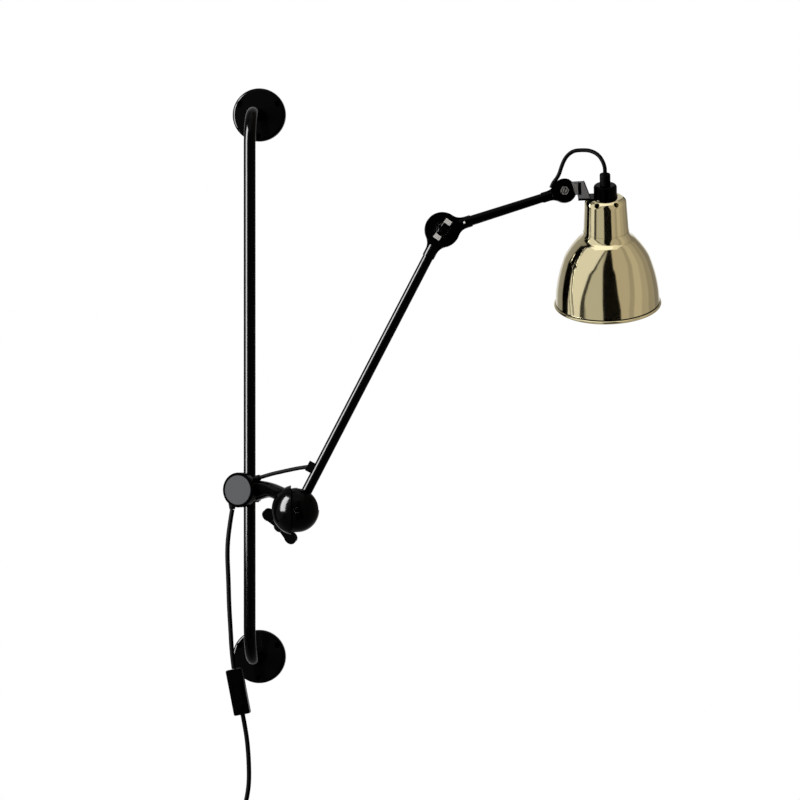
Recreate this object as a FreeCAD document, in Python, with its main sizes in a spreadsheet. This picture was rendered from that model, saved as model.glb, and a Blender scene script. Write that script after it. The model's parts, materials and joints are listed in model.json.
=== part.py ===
"""Wall lamp on a vertical rail: a sliding bracket, a ball joint, two hinged arms and a brass shade.

Frame: millimetres, +Z up, the wall is the plane Y = 0 and the lamp stands out towards -Y.
The origin is the centre of the lower wall disc's back face.
"""
import FreeCAD
import Part
import Sketcher
import math
import os

doc = FreeCAD.newDocument("wall_lamp")
Vector = FreeCAD.Vector

# ---------------------------------------------------------------- driving dimensions (mm, degrees)

DIMENSIONS = [
    # rail and wall discs
    ("rail_length", 620.0),
    ("rail_standoff", 100.0),
    ("rail_diameter", 13.5),
    ("rail_wall", 1.5),
    ("rail_bend_radius", 38.0),
    ("disc_diameter", 61.0),
    ("disc_thickness", 9.0),
    ("disc_edge_radius", 3.5),
    ("disc_floor", 2.5),
    ("disc_dome", 0.8),
    ("screw_circle", 50.0),
    ("screw_hole", 4.5),
    ("screw_sink", 8.4),
    ("fit_gap", 0.05),
    ("running_gap", 0.1),
    # sliding bracket
    ("slider_height", 192.5),
    ("sleeve_height", 25.6),
    ("sleeve_diameter", 25.0),
    ("bush_wall", 1.6),
    ("bush_flange", 2.2),
    ("bush_flange_thickness", 1.2),
    ("boss_diameter", 34.0),
    ("boss_reach", 16.2),
    ("knob_yaw", 22.9),
    ("knob_diameter", 39.4),
    ("knob_depth", 11.0),
    ("knob_edge", 1.6),
    ("knob_cap_diameter", 33.4),
    ("knob_cap_thickness", 1.4),
    ("stud_diameter", 8.0),
    ("pad_thickness", 2.2),
    # ball joint
    ("ball_offset_side", 59.5),
    ("ball_offset_front", 54.0),
    ("ball_drop", 21.7),
    ("ball_diameter", 50.0),
    ("cup_wall", 3.2),
    ("cup_gap", 0.3),
    ("cup_rim", 6.6),
    ("neck_root_radius", 12.6),
    ("neck_waist_radius", 8.8),
    ("neck_tip_radius", 8.4),
    ("slot_start", 15.5),
    ("slot_end", 72.5),
    ("slot_gap", 0.7),
    ("pivot_pin_diameter", 6.0),
    ("ball_bolt_angle", 44.0),
    ("ball_bolt_turn", 38.0),
    ("ball_bolt_diameter", 8.0),
    ("ball_bolt_depth", 13.0),
    ("ball_wing_reach", 25.0),
    ("ball_wing_lobe", 7.2),
    ("ball_wing_thickness", 5.0),
    # arms
    ("arm_yaw", 6.0),
    ("lower_arm_length", 352.4),
    ("lower_arm_angle", 62.6),
    ("lower_tube_diameter", 12.0),
    ("tube_wall", 1.2),
    ("forearm_length", 143.0),
    ("forearm_angle", 17.7),
    ("forearm_root_diameter", 11.4),
    ("forearm_tip_diameter", 10.0),
    ("elbow_radius", 19.8),
    ("elbow_fillet", 14.0),
    ("joint_thickness", 9.0),
    ("joint_washer", 1.0),
    ("joint_bolt_diameter", 8.0),
    ("elbow_socket", 34.0),
    ("head_radius", 13.6),
    ("head_fillet", 12.0),
    ("head_socket", 26.0),
    ("head_bolt_diameter", 5.0),
    ("elbow_wing_reach", 14.0),
    ("elbow_wing_lobe", 5.0),
    ("elbow_wing_thickness", 3.6),
    ("grommet_along", 49.6),
    ("grommet_width", 12.0),
    ("grommet_rise", 6.6),
    # shade carrier
    ("fork_reach", 14.5),
    ("fork_thickness", 6.0),
    ("fork_flat", 5.8),
    ("fork_tongue", 10.6),
    ("fork_angle", 2.5),
    ("swivel_pin_diameter", 4.0),
    ("stirrup_plate", 1.8),
    ("stirrup_depth", 17.0),
    ("stirrup_foot", 8.0),
    ("shade_offset", 45.5),
    ("shade_lean", 23.0),
    ("shade_drop", 137.5),
    # shade
    ("shade_wall", 1.0),
    ("bell_height", 88.0),
    ("bell_neck_radius", 25.8),
    ("bell_mid_radius", 47.5),
    ("bell_mid_drop", 31.5),
    ("bell_flare_radius", 31.5),
    ("bell_flare_drop", 9.5),
    ("bell_side_radius", 57.9),
    ("bell_side_drop", 74.0),
    ("bell_foot_radius", 58.6),
    ("bell_low_curve", 160.0),
    ("bell_curve", 100.0),
    ("bell_flare_curve", 10.0),
    ("rim_bead", 1.9),
    ("cap_top_radius", 23.6),
    ("cap_foot_radius", 25.4),
    ("cap_shoulder", 8.0),
    ("vent_diameter", 6.0),
    ("ring_radius", 13.0),
    ("ring_height", 13.0),
    ("gland_radius", 6.0),
    ("gland_height", 13.0),
    ("strap_thickness", 1.5),
    ("strap_width", 15.0),
    ("holder_radius", 12.4),
    ("holder_length", 42.0),
    ("bulb_radius", 22.5),
    ("bulb_base_radius", 7.0),
    ("bulb_base_length", 20.0),
    ("bulb_neck_radius", 8.5),
    ("bulb_centre_height", 44.0),
    # cables
    ("cable_diameter", 4.5),
    ("cable_gland_radius", 3.4),
    ("mains_gland_radius", 4.4),
    ("mains_gland_length", 22.0),
    ("mains_gland_side", 16.0),
    ("mains_gland_front", 11.5),
    ("tie_width", 7.0),
    ("mains_diameter", 5.2),
    ("switch_length", 52.0),
    ("switch_width", 18.5),
    ("switch_depth", 15.0),
    ("switch_slant", 11.0),
    ("coil_radius", 29.0),
    ("coil_bundle_radius", 9.0),
    ("plug_length", 34.0),
    ("plug_width", 25.0),
    ("plug_depth", 13.5),
    ("plug_pin_length", 19.0),
    ("plug_pin_diameter", 4.0),
    ("plug_pin_spacing", 18.6),
]


class Size:
    """A length that carries both its number and the expression that binds it to the sheet."""

    def __init__(self, number, text):
        self.number = number
        self.text = text

    def __float__(self):
        return float(self.number)

    def __add__(self, other):
        return Size(float(self) + float(other), f"({self.text} + {text_of(other)})")

    def __sub__(self, other):
        return Size(float(self) - float(other), f"({self.text} - {text_of(other)})")

    def __mul__(self, other):
        return Size(float(self) * float(other), f"({self.text} * {text_of(other)})")

    def __truediv__(self, other):
        return Size(float(self) / float(other), f"({self.text} / {text_of(other)})")

    def __radd__(self, other):
        return Size(float(other) + float(self), f"({text_of(other)} + {self.text})")

    def __rsub__(self, other):
        return Size(float(other) - float(self), f"({text_of(other)} - {self.text})")

    def __rmul__(self, other):
        return Size(float(other) * float(self), f"({text_of(other)} * {self.text})")


def text_of(value):
    return value.text if isinstance(value, Size) else repr(float(value))


def root_of(value):
    """The square root of a size, as a size."""
    return Size(math.sqrt(float(value)), f"sqrt({text_of(value)})")


sheet = doc.addObject("Spreadsheet::Sheet", "Dimensions")


class Dimensions:
    """One Size for each aliased cell of the sheet."""


dim = Dimensions()
for row, (alias, number) in enumerate(DIMENSIONS, start=1):
    sheet.set(f"A{row}", alias)
    sheet.set(f"B{row}", str(number))
    sheet.setAlias(f"B{row}", alias)
    setattr(dim, alias, Size(number, f"Dimensions.{alias}"))
doc.recompute()

# ---------------------------------------------------------------- building helpers

subparts = []


def bind(obj, name, value):
    """Sets a property, and binds it to the sheet where the value is a Size."""
    if isinstance(value, Size):
        obj.setExpression(name, value.text)
    else:
        setattr(obj, name, value)
    return obj


def primitive(kind, label, placement, **sizes):
    obj = doc.addObject(f"Part::{kind}", label)
    for name, value in sizes.items():
        bind(obj, name, value)
    obj.Placement = placement
    return obj


def frame(origin, z_axis, x_axis):
    """A placement at origin with its z along z_axis and its x near x_axis."""
    z = Vector(z_axis).normalize()
    y = z.cross(Vector(x_axis)).normalize()
    x = y.cross(z)
    return FreeCAD.Placement(Vector(origin), FreeCAD.Rotation(x, y, z, "ZXY"))


def moved(placement, x=0.0, y=0.0, z=0.0):
    """The same frame with its origin moved along its own axes."""
    shift = FreeCAD.Placement(Vector(float(x), float(y), float(z)), FreeCAD.Rotation())
    return placement.multiply(shift)


def turned(placement, axis, degrees):
    """The same frame turned about one of its own axes."""
    turn = FreeCAD.Placement(Vector(), FreeCAD.Rotation(Vector(axis), float(degrees)))
    return placement.multiply(turn)


def cylinder(label, placement, radius, height):
    return primitive("Cylinder", label, placement, Radius=radius, Height=height)


def box(label, placement, length, width, height):
    """A box centred on its frame's x and y, from z = 0 up."""
    corner = moved(placement, -float(length) / 2, -float(width) / 2, 0)
    return primitive("Box", label, corner, Length=length, Width=width, Height=height)


def fuse(label, shapes):
    obj = doc.addObject("Part::MultiFuse", label)
    obj.Shapes = shapes
    obj.Refine = True
    return obj


def cut(label, base, tools):
    obj = doc.addObject("Part::Cut", label)
    obj.Base = base
    obj.Tool = tools[0] if len(tools) == 1 else fuse(label + "_tools", tools)
    obj.Refine = True
    return obj


def common(label, first, second):
    obj = doc.addObject("Part::MultiCommon", label)
    obj.Shapes = [first, second]
    return obj


def keep(obj, label):
    """Names a finished sub-part."""
    obj.Label = label
    subparts.append(obj)
    return obj


def arc_geometry(start, end, radius):
    """The arc from start to end; a positive radius has its centre on the left of the way."""
    chord = end - start
    half = chord.Length / 2
    left = Vector(-chord.y, chord.x, 0).normalize()
    rise = math.sqrt(max(radius * radius - half * half, 0.0))
    centre = (start + end) / 2 + left * math.copysign(rise, radius)
    first, last = (start, end) if radius > 0 else (end, start)
    angles = [math.atan2(p.y - centre.y, p.x - centre.x) for p in (first, last)]
    circle = Part.Circle(centre, Vector(0, 0, 1), abs(radius))
    return Part.ArcOfCircle(circle, angles[0], angles[1])


def sketch_outline(body, label, outline, plane):
    """A closed sketch with every corner and arc radius bound to the sheet.

    A corner is (x, y), or (x, y, radius) where the side that reaches it is an arc.
    """
    sketch = body.newObject("Sketcher::SketchObject", label)
    planes = {item.Role: item for item in body.Origin.OriginFeatures}
    sketch.AttachmentSupport = [(planes[plane], "")]
    sketch.MapMode = "FlatFace"
    corners = [Vector(float(c[0]), float(c[1]), 0) for c in outline]
    starts = []
    for i, corner in enumerate(outline):
        a, b = corners[i - 1], corners[i]
        if len(corner) == 3:
            radius = float(corner[2])
            sketch.addGeometry(arc_geometry(a, b, radius), False)
            starts.append(1 if radius > 0 else 2)
        else:
            sketch.addGeometry(Part.LineSegment(a, b), False)
            starts.append(1)
    count = len(outline)
    for i in range(count):
        nxt = (i + 1) % count
        end = 3 - starts[i]
        sketch.addConstraint(Sketcher.Constraint("Coincident", i, end, nxt, starts[nxt]))
    for i, corner in enumerate(outline):
        end = 3 - starts[i]
        for kind, axis, value in (("DistanceX", -2, corner[0]), ("DistanceY", -1, corner[1])):
            if abs(float(value)) < 1e-9:
                sketch.addConstraint(Sketcher.Constraint("PointOnObject", i, end, axis))
                continue
            index = sketch.addConstraint(Sketcher.Constraint(kind, i, end, float(value)))
            if isinstance(value, Size):
                sketch.setExpression(f"Constraints[{index}]", value.text)
        if len(corner) == 3:
            index = sketch.addConstraint(Sketcher.Constraint("Radius", i, abs(float(corner[2]))))
            if isinstance(corner[2], Size) and float(corner[2]) > 0:
                sketch.setExpression(f"Constraints[{index}]", corner[2].text)
            elif isinstance(corner[2], Size):
                sketch.setExpression(f"Constraints[{index}]", f"-1 * {corner[2].text}")
    return sketch


def revolved(label, placement, outline):
    """A body of revolution about its frame's z, from a closed half outline of (radius, z)."""
    body = doc.addObject("PartDesign::Body", label)
    sketch = sketch_outline(body, label + "_outline", outline, "XZ_Plane")
    turn = body.newObject("PartDesign::Revolution", label + "_turn")
    turn.Profile = sketch
    turn.ReferenceAxis = (sketch, ["V_Axis"])
    turn.Angle = 360
    body.Placement = placement
    return body


def padded(label, placement, outline, height):
    """A prism along its frame's z, from a closed outline in its x and y."""
    body = doc.addObject("PartDesign::Body", label)
    sketch = sketch_outline(body, label + "_outline", outline, "XY_Plane")
    pad = body.newObject("PartDesign::Pad", label + "_pad")
    pad.Profile = sketch
    bind(pad, "Length", height)
    body.Placement = placement
    return body


def ring_outline(inner, outer, height, base=0.0):
    return [(inner, base), (outer, base), (outer, base + height), (inner, base + height)]


# ---------------------------------------------------------------- frames of the pieces

def direction(side, up):
    """A direction in the arms' plane, which stands upright and is yawed from the wall's plane."""
    return ARM_SIDE * side + UP * up


UP = Vector(0, 0, 1)
OUT = Vector(0, -1, 0)
SIDE = Vector(1, 0, 0)
yaw = math.radians(float(dim.arm_yaw))
ARM_SIDE = Vector(math.cos(yaw), math.sin(yaw), 0)
ARM_FRONT = Vector(math.sin(yaw), -math.cos(yaw), 0)

rail_axis = Vector(0, -float(dim.rail_standoff), 0)
slider_centre = rail_axis + UP * float(dim.slider_height)
knob_turn = math.radians(float(dim.knob_yaw))
KNOB_AXIS = Vector(-math.sin(knob_turn), -math.cos(knob_turn), 0)
ball_centre = slider_centre + Vector(
    float(dim.ball_offset_side), -float(dim.ball_offset_front), -float(dim.ball_drop)
)


def in_plane(degrees):
    angle = math.radians(float(degrees))
    return direction(math.cos(angle), math.sin(angle))


LOWER = in_plane(dim.lower_arm_angle)
FORE = in_plane(dim.forearm_angle)
bolt_turn = math.radians(float(dim.ball_bolt_turn))
BALL_BOLT = in_plane(dim.ball_bolt_angle) * -math.cos(bolt_turn) - ARM_FRONT * math.sin(bolt_turn)

# The lower arm lies in the ball's own plane, and the forearm one joint thickness in front of it.
joint_step = dim.joint_thickness + dim.joint_washer
elbow_centre = ball_centre + LOWER * float(dim.lower_arm_length)
fore_root = elbow_centre + ARM_FRONT * float(joint_step)
head_centre = fore_root + FORE * float(dim.forearm_length)

# The shade's axis meets the swivel pin's axis, and leans away from the room towards its rim.
lean = math.radians(float(dim.shade_lean))
FORK = in_plane(dim.fork_angle)
FORK_UP = in_plane(float(dim.fork_angle) + 90)
SHADE_UP = FORK_UP * math.cos(lean) + ARM_FRONT * math.sin(lean)
SHADE_FRONT = ARM_FRONT * math.cos(lean) - FORK_UP * math.sin(lean)
fork_step = dim.joint_thickness / 2 + dim.joint_washer + dim.fork_thickness / 2
fork_centre = head_centre + ARM_FRONT * float(fork_step)
swivel_centre = fork_centre + FORK * float(dim.fork_reach)
shade_base = fork_centre + FORK * float(dim.shade_offset) - SHADE_UP * float(dim.shade_drop)
shade_frame = frame(shade_base, SHADE_UP, FORK)
stirrup_frame = frame(swivel_centre, SHADE_FRONT, FORK)

# Glands: the mains cord hangs from the boss's outer side, and the arm's cable leaves the neck's top.
knob_frame = frame(slider_centre, KNOB_AXIS, UP)
mains_top = moved(knob_frame, 0, dim.mains_gland_side, dim.mains_gland_front).Base
jumper_top = slider_centre + Vector(13.6, -16.1, 14.0)
JUMPER_AXIS = Vector(0.82, -0.53, 0.18).normalize()

# The cord's switch hangs at a slant, just in front of the lower disc.
slant = math.radians(float(dim.switch_slant))
SWITCH_UP = Vector(-math.sin(slant), 0, math.cos(slant))
switch_centre = Vector(-10.6, -119.0, -34.5)
coil_centre = Vector(8.0, -119.0, -212.0)
plug_top = Vector(-20.6, -119.0, -258.0)

wall_frames = {
    "lower": frame(Vector(0, 0, 0), OUT, SIDE),
    "upper": frame(UP * float(dim.rail_length), OUT, SIDE),
}

# ---------------------------------------------------------------- rail and wall discs


def rail_solid(label, radius):
    """The rail's path as one solid of the given radius: leg, bend, straight, bend, leg."""
    bend = dim.rail_bend_radius
    length = dim.rail_length
    low_centre = Vector(0, -float(dim.rail_standoff) + float(bend), float(bend))
    high_centre = Vector(low_centre.x, low_centre.y, float(length) - float(bend))
    straight = cylinder(
        label + "_straight", frame(rail_axis + UP * float(bend), UP, SIDE), radius, length - bend * 2
    )
    pieces = [straight]
    leg = dim.rail_standoff - bend - dim.disc_floor
    for name, centre, across in (("low", low_centre, SIDE), ("high", high_centre, -SIDE)):
        bend_frame = frame(centre, across, OUT)
        pieces.append(
            primitive(
                "Torus", f"{label}_{name}_bend", bend_frame,
                Radius1=bend, Radius2=radius, Angle1=-180, Angle2=180, Angle3=90,
            )
        )
        foot = centre + (UP * -float(bend) if name == "low" else UP * float(bend))
        pieces.append(cylinder(f"{label}_{name}_leg", frame(foot, -OUT, SIDE), radius, leg))
    return fuse(label, pieces)


def rail_tube():
    outer = rail_solid("rail_outside", dim.rail_diameter / 2)
    inner = rail_solid("rail_inside", dim.rail_diameter / 2 - dim.rail_wall)
    keep(cut("rail", outer, [inner]), "rail_tube")


def wall_disc(where):
    placement = wall_frames[where]
    radius = dim.disc_diameter / 2
    edge = dim.disc_edge_radius
    top = dim.disc_thickness
    bore = dim.rail_diameter / 2 + dim.fit_gap
    blank = revolved(
        f"{where}_disc_blank",
        placement,
        [
            (0, 0),
            (radius - 1.0, 0),
            (radius, 1.0),
            (radius, top - edge),
            (radius - edge, top, edge),
            (bore + 4.0, top + dim.disc_dome),
            (bore, top + dim.disc_dome),
            (bore, dim.disc_floor),
            (0, dim.disc_floor),
        ],
    )
    hole = dim.screw_hole / 2
    sink = dim.screw_sink / 2
    tools = []
    for i, degrees in enumerate((30, 150, 270)):
        seat = moved(turned(placement, (0, 0, 1), degrees), dim.screw_circle / 2)
        tools.append(cylinder(f"{where}_screw_hole_{i}", moved(seat, 0, 0, -1), hole, top + 4))
        cone_height = sink - hole
        tools.append(
            primitive(
                "Cone", f"{where}_screw_sink_{i}", moved(seat, 0, 0, float(top - cone_height)),
                Radius1=hole, Radius2=sink + 1.0, Height=cone_height + 1.0,
            )
        )
    keep(cut(f"{where}_disc", blank, tools), f"{where}_wall_disc")


# ---------------------------------------------------------------- sliding bracket

bush_inner = dim.rail_diameter / 2 + dim.running_gap
bush_outer = bush_inner + dim.bush_wall
bush_room = dim.sleeve_height + dim.running_gap * 2


def slider_bush():
    flange = bush_outer + dim.bush_flange
    rim = dim.bush_flange_thickness
    foot = slider_centre - UP * (float(bush_room) / 2 + float(rim))
    outline = [
        (bush_inner, 0),
        (flange, 0),
        (flange, rim),
        (bush_outer, rim),
        (bush_outer, rim + bush_room),
        (flange, rim + bush_room),
        (flange, rim * 2 + bush_room),
        (bush_inner, rim * 2 + bush_room),
    ]
    keep(revolved("bush", frame(foot, UP, SIDE), outline), "slider_bush")


cup_inner = dim.ball_diameter / 2 + dim.cup_gap
cup_outer = cup_inner + dim.cup_wall
cup_frame = frame(ball_centre, ARM_SIDE, UP)


def neck_sections():
    """Round sections of the neck, from the rail's sleeve to the cup's upper left side."""
    root = slider_centre + Vector(3, -2, -1.3)
    tip = ball_centre + in_plane(133) * (float(cup_inner) - 2.0)
    span = tip - root
    rise = UP
    swell = KNOB_AXIS
    return [
        (root, Vector(1, -0.25, 0.05), dim.neck_root_radius),
        (root + span * 0.27 + rise * 2.2 - swell * 2.5, Vector(1, -0.5, 0.08), dim.neck_root_radius * 0.84),
        (root + span * 0.5 + rise * 3.2 - swell * 3.5, Vector(1, -0.85, -0.05), dim.neck_waist_radius),
        (root + span * 0.8 + rise * 1.6 - swell * 1.5, Vector(1, -0.9, -0.45), dim.neck_tip_radius),
        (tip, Vector(1, -0.7, -0.75), dim.neck_tip_radius),
    ]


def neck_solid():
    rings = []
    for i, (centre, along, radius) in enumerate(neck_sections()):
        ring = doc.addObject("Part::Circle", f"neck_section_{i}")
        bind(ring, "Radius", radius)
        ring.Placement = frame(centre, along, UP)
        rings.append(ring)
    neck = doc.addObject("Part::Loft", "neck")
    neck.Sections = rings
    neck.Solid = True
    neck.Ruled = False
    return neck


def bracket_arm():
    sleeve_foot = slider_centre - UP * (float(dim.sleeve_height) / 2)
    sleeve = cylinder("sleeve", frame(sleeve_foot, UP, SIDE), dim.sleeve_diameter / 2, dim.sleeve_height)
    boss = cylinder("knob_boss", knob_frame, dim.boss_diameter / 2, dim.boss_reach)
    boss_room = box(
        "boss_trim", moved(knob_frame, 0, 0, 0), dim.sleeve_height, dim.boss_diameter * 2, dim.boss_reach + 1.0
    )
    round_boss = common("trimmed_boss", boss, boss_room)
    ball_room = primitive("Sphere", "ball_room", frame(ball_centre, UP, SIDE), Radius=cup_inner)
    shell = primitive("Sphere", "cup_shell", frame(ball_centre, UP, SIDE), Radius=cup_outer)
    mouth = box(
        "cup_mouth", moved(cup_frame, 0, 0, -float(dim.cup_rim)), cup_outer * 2.2, cup_outer * 2.2, cup_outer * 2
    )
    bore = cylinder(
        "sleeve_bore", frame(sleeve_foot - UP * 5, UP, SIDE), bush_outer + dim.running_gap, dim.sleeve_height + 10
    )
    mains_seat = frame(mains_top, -UP, SIDE)
    mains_room = cylinder(
        "mains_room", mains_seat, dim.mains_gland_radius + dim.fit_gap, dim.mains_gland_length
    )
    jumper_room = cylinder(
        "jumper_room", jumper_frame(), dim.cable_gland_radius + dim.fit_gap, dim.cable_gland_radius * 4
    )
    stud_bore = cylinder("stud_bore", knob_frame, dim.stud_diameter / 2 + dim.fit_gap, dim.boss_reach + 5)
    bolt_hole = cylinder(
        "bolt_hole", frame(ball_centre, BALL_BOLT, UP), dim.ball_bolt_diameter / 2 + dim.running_gap, cup_outer + 5
    )
    knob_room = cylinder(
        "knob_room", moved(knob_frame, 0, 0, float(dim.boss_reach) + 0.05), dim.knob_diameter / 2 + 0.6, 40
    )
    flange = bush_outer + dim.bush_flange + 0.3
    low_room = cylinder("low_flange_room", frame(sleeve_foot, -UP, SIDE), flange, 8)
    high_room = cylinder(
        "high_flange_room", frame(sleeve_foot + UP * float(dim.sleeve_height), UP, SIDE), flange, 8
    )
    solid = fuse("bracket_blank", [sleeve, round_boss, neck_solid(), shell])
    tools = [ball_room, mouth, bore, stud_bore, bolt_hole, mains_room, jumper_room]
    tools += [knob_room, low_room, high_room]
    keep(cut("bracket", solid, tools), "bracket_arm")


def jumper_frame():
    """The arm cable's gland, from inside the neck's root to its outer end."""
    start = jumper_top - JUMPER_AXIS * (float(dim.cable_gland_radius) * 2)
    return frame(start, JUMPER_AXIS, SIDE)


def glands():
    """The two rubber glands in the bracket, each with a blind seat for its cable."""
    mains_seat = frame(mains_top, -UP, SIDE)
    keep(
        revolved(
            "mains_gland_blank", mains_seat,
            [
                (0, 0),
                (dim.mains_gland_radius, 0),
                (dim.mains_gland_radius, dim.mains_gland_length - 7.0),
                (dim.mains_diameter / 2 + 0.6, dim.mains_gland_length),
                (0, dim.mains_gland_length),
            ],
        ),
        "mains_gland",
    )
    keep(
        revolved(
            "jumper_gland_blank", jumper_frame(),
            [
                (0, 0),
                (dim.cable_gland_radius, 0),
                (dim.cable_gland_radius, dim.cable_gland_radius * 2 - 1.0),
                (dim.cable_gland_radius - 0.7, dim.cable_gland_radius * 2),
                (0, dim.cable_gland_radius * 2),
            ],
        ),
        "jumper_gland",
    )


def clamp_knob():
    back = dim.boss_reach + dim.running_gap * 3
    front = back + dim.knob_depth
    edge = dim.knob_edge
    radius = dim.knob_diameter / 2
    cap = dim.knob_cap_diameter / 2
    stud = dim.stud_diameter / 2
    seat = front - dim.knob_cap_thickness
    bore = stud + dim.fit_gap
    outline = [
        (bore, back),
        (radius - edge, back),
        (radius, back + edge, edge),
        (radius, front - edge),
        (radius - edge, front, edge),
        (cap + dim.fit_gap, front),
        (cap + dim.fit_gap, seat),
        (bore, seat),
    ]
    keep(revolved("knob", knob_frame, outline), "knob_body")
    cap_outline = [
        (0, seat),
        (cap, seat),
        (cap, front - 0.3),
        (cap - 0.6, front + 0.3),
        (0, front + 0.3),
    ]
    keep(revolved("cap", knob_frame, cap_outline), "knob_cap")
    pad_end = bush_outer + dim.running_gap * 2 + dim.pad_thickness
    pad = dim.stud_diameter / 2 - dim.running_gap
    pad_start = bush_outer + dim.running_gap * 2
    keep(
        cylinder("pad", moved(knob_frame, 0, 0, pad_start), pad, dim.pad_thickness), "clamp_pad"
    )
    keep(cylinder("stud", moved(knob_frame, 0, 0, pad_end), stud, seat - pad_end), "clamp_stud")


# ---------------------------------------------------------------- wings


def wing_head(label, placement, base_radius, base_height, reach, lobe, thickness, rise):
    """A wing screw's or wing nut's head: a tapered hub with two flat lobes on its frame's x."""
    hub = primitive(
        "Cone", label + "_hub", placement, Radius1=base_radius, Radius2=base_radius * 0.78, Height=base_height
    )
    pieces = [hub]
    lobe_centre = reach - lobe
    for side in (1, -1):
        at = moved(placement, side * float(lobe_centre), float(thickness) / 2, rise)
        lobe_frame = turned(at, (1, 0, 0), 90)
        pieces.append(cylinder(f"{label}_lobe_{side + 1}", lobe_frame, lobe, thickness))
        web = padded(
            f"{label}_web_{side + 1}",
            turned(moved(placement, 0, float(thickness) / 2 * side, 0), (0, 0, 1), 0 if side > 0 else 180),
            [
                (0, 0.6),
                (base_radius * 0.9, 0.6),
                (lobe_centre, float(rise) - float(lobe) * 0.96),
                (lobe_centre, float(rise) + float(lobe) * 0.9),
                (base_radius * 0.55, base_height * 0.95),
                (0, base_height * 0.95),
            ],
            thickness,
        )
        web.Placement = turned(web.Placement, (1, 0, 0), 90)
        pieces.append(web)
    return fuse(label, pieces)


def ball_wing_screw():
    gap = float(dim.running_gap)
    washer_foot = float(cup_outer) + gap
    bolt_frame = frame(ball_centre, BALL_BOLT, in_plane(float(dim.ball_bolt_angle) + 90))
    bolt = dim.ball_bolt_diameter / 2
    washer = revolved(
        "ball_washer_blank",
        bolt_frame,
        [
            (bolt + dim.fit_gap, cup_outer - 0.4),
            (8.2, cup_outer - 1.1),
            (8.2, cup_outer + 1.6),
            (bolt + dim.fit_gap, cup_outer + 1.6),
        ],
    )
    dish = primitive("Sphere", "washer_dish", frame(ball_centre, UP, SIDE), Radius=cup_outer + 0.05)
    keep(cut("ball_washer", washer, [dish]), "ball_washer")
    foot = cup_outer + 1.7
    head = wing_head(
        "ball_wing", moved(bolt_frame, 0, 0, foot), 7.0, 8.0,
        dim.ball_wing_reach, dim.ball_wing_lobe, dim.ball_wing_thickness, 3.9,
    )
    depth = dim.ball_diameter / 2 - dim.ball_bolt_depth
    shank = cylinder("ball_shank", moved(bolt_frame, 0, 0, depth), bolt, foot - depth + 1.0)
    keep(fuse("ball_wing_solid", [head, shank]), "ball_wing_screw")


# ---------------------------------------------------------------- ball and lower arm


def slot_outline(half):
    """The slot's outline in the arms' plane: a wedge that keeps the arm's half width on both sides."""
    first, last = math.radians(float(dim.slot_start)), math.radians(float(dim.slot_end))
    low = Vector(half * math.sin(first), -half * math.cos(first), 0)
    high = Vector(-half * math.sin(last), half * math.cos(last), 0)
    reach = float(dim.ball_diameter)
    low_end = low + Vector(math.cos(first), math.sin(first), 0) * reach
    high_end = high + Vector(math.cos(last), math.sin(last), 0) * reach
    return [(point.x, point.y) for point in (low, low_end, high_end, high)]


def pivot_ball():
    ball = primitive("Sphere", "ball_blank", frame(ball_centre, UP, SIDE), Radius=dim.ball_diameter / 2)
    slot_width = dim.lower_tube_diameter + dim.slot_gap * 2
    across = frame(ball_centre - ARM_FRONT * (float(slot_width) / 2), ARM_FRONT, ARM_SIDE)
    eye_room = cylinder("eye_room", across, dim.lower_tube_diameter / 2 + 2.6, slot_width)
    slot = padded("ball_slot", across, slot_outline(float(slot_width) / 2), slot_width)
    pin = dim.pivot_pin_diameter / 2 + dim.fit_gap
    pin_bore = cylinder("pin_bore", frame(ball_centre - ARM_FRONT * 40, ARM_FRONT, UP), pin, 80)
    bolt = dim.ball_bolt_diameter / 2 + dim.fit_gap
    depth = dim.ball_diameter / 2 - dim.ball_bolt_depth
    bolt_frame = moved(frame(ball_centre, BALL_BOLT, UP), 0, 0, float(depth) - 1)
    bolt_bore = cylinder("bolt_bore", bolt_frame, bolt, 40)
    solid = cut("ball_with_slot", ball, [slot])
    solid = cut("ball_with_room", solid, [eye_room])
    solid = cut("ball_with_pin_bore", solid, [pin_bore])
    keep(cut("ball", solid, [bolt_bore]), "pivot_ball")
    reach = math.sqrt((float(dim.ball_diameter) / 2) ** 2 - (float(dim.pivot_pin_diameter) / 2) ** 2)
    pin_frame = frame(ball_centre - ARM_FRONT * (reach - 0.6), ARM_FRONT, UP)
    keep(
        cylinder("pin", pin_frame, dim.pivot_pin_diameter / 2, 2 * (reach - 0.6)), "pivot_pin"
    )


def arm_frame(origin, along):
    """A frame with x along an arm and z towards the room."""
    return frame(origin, ARM_FRONT, along)


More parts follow.
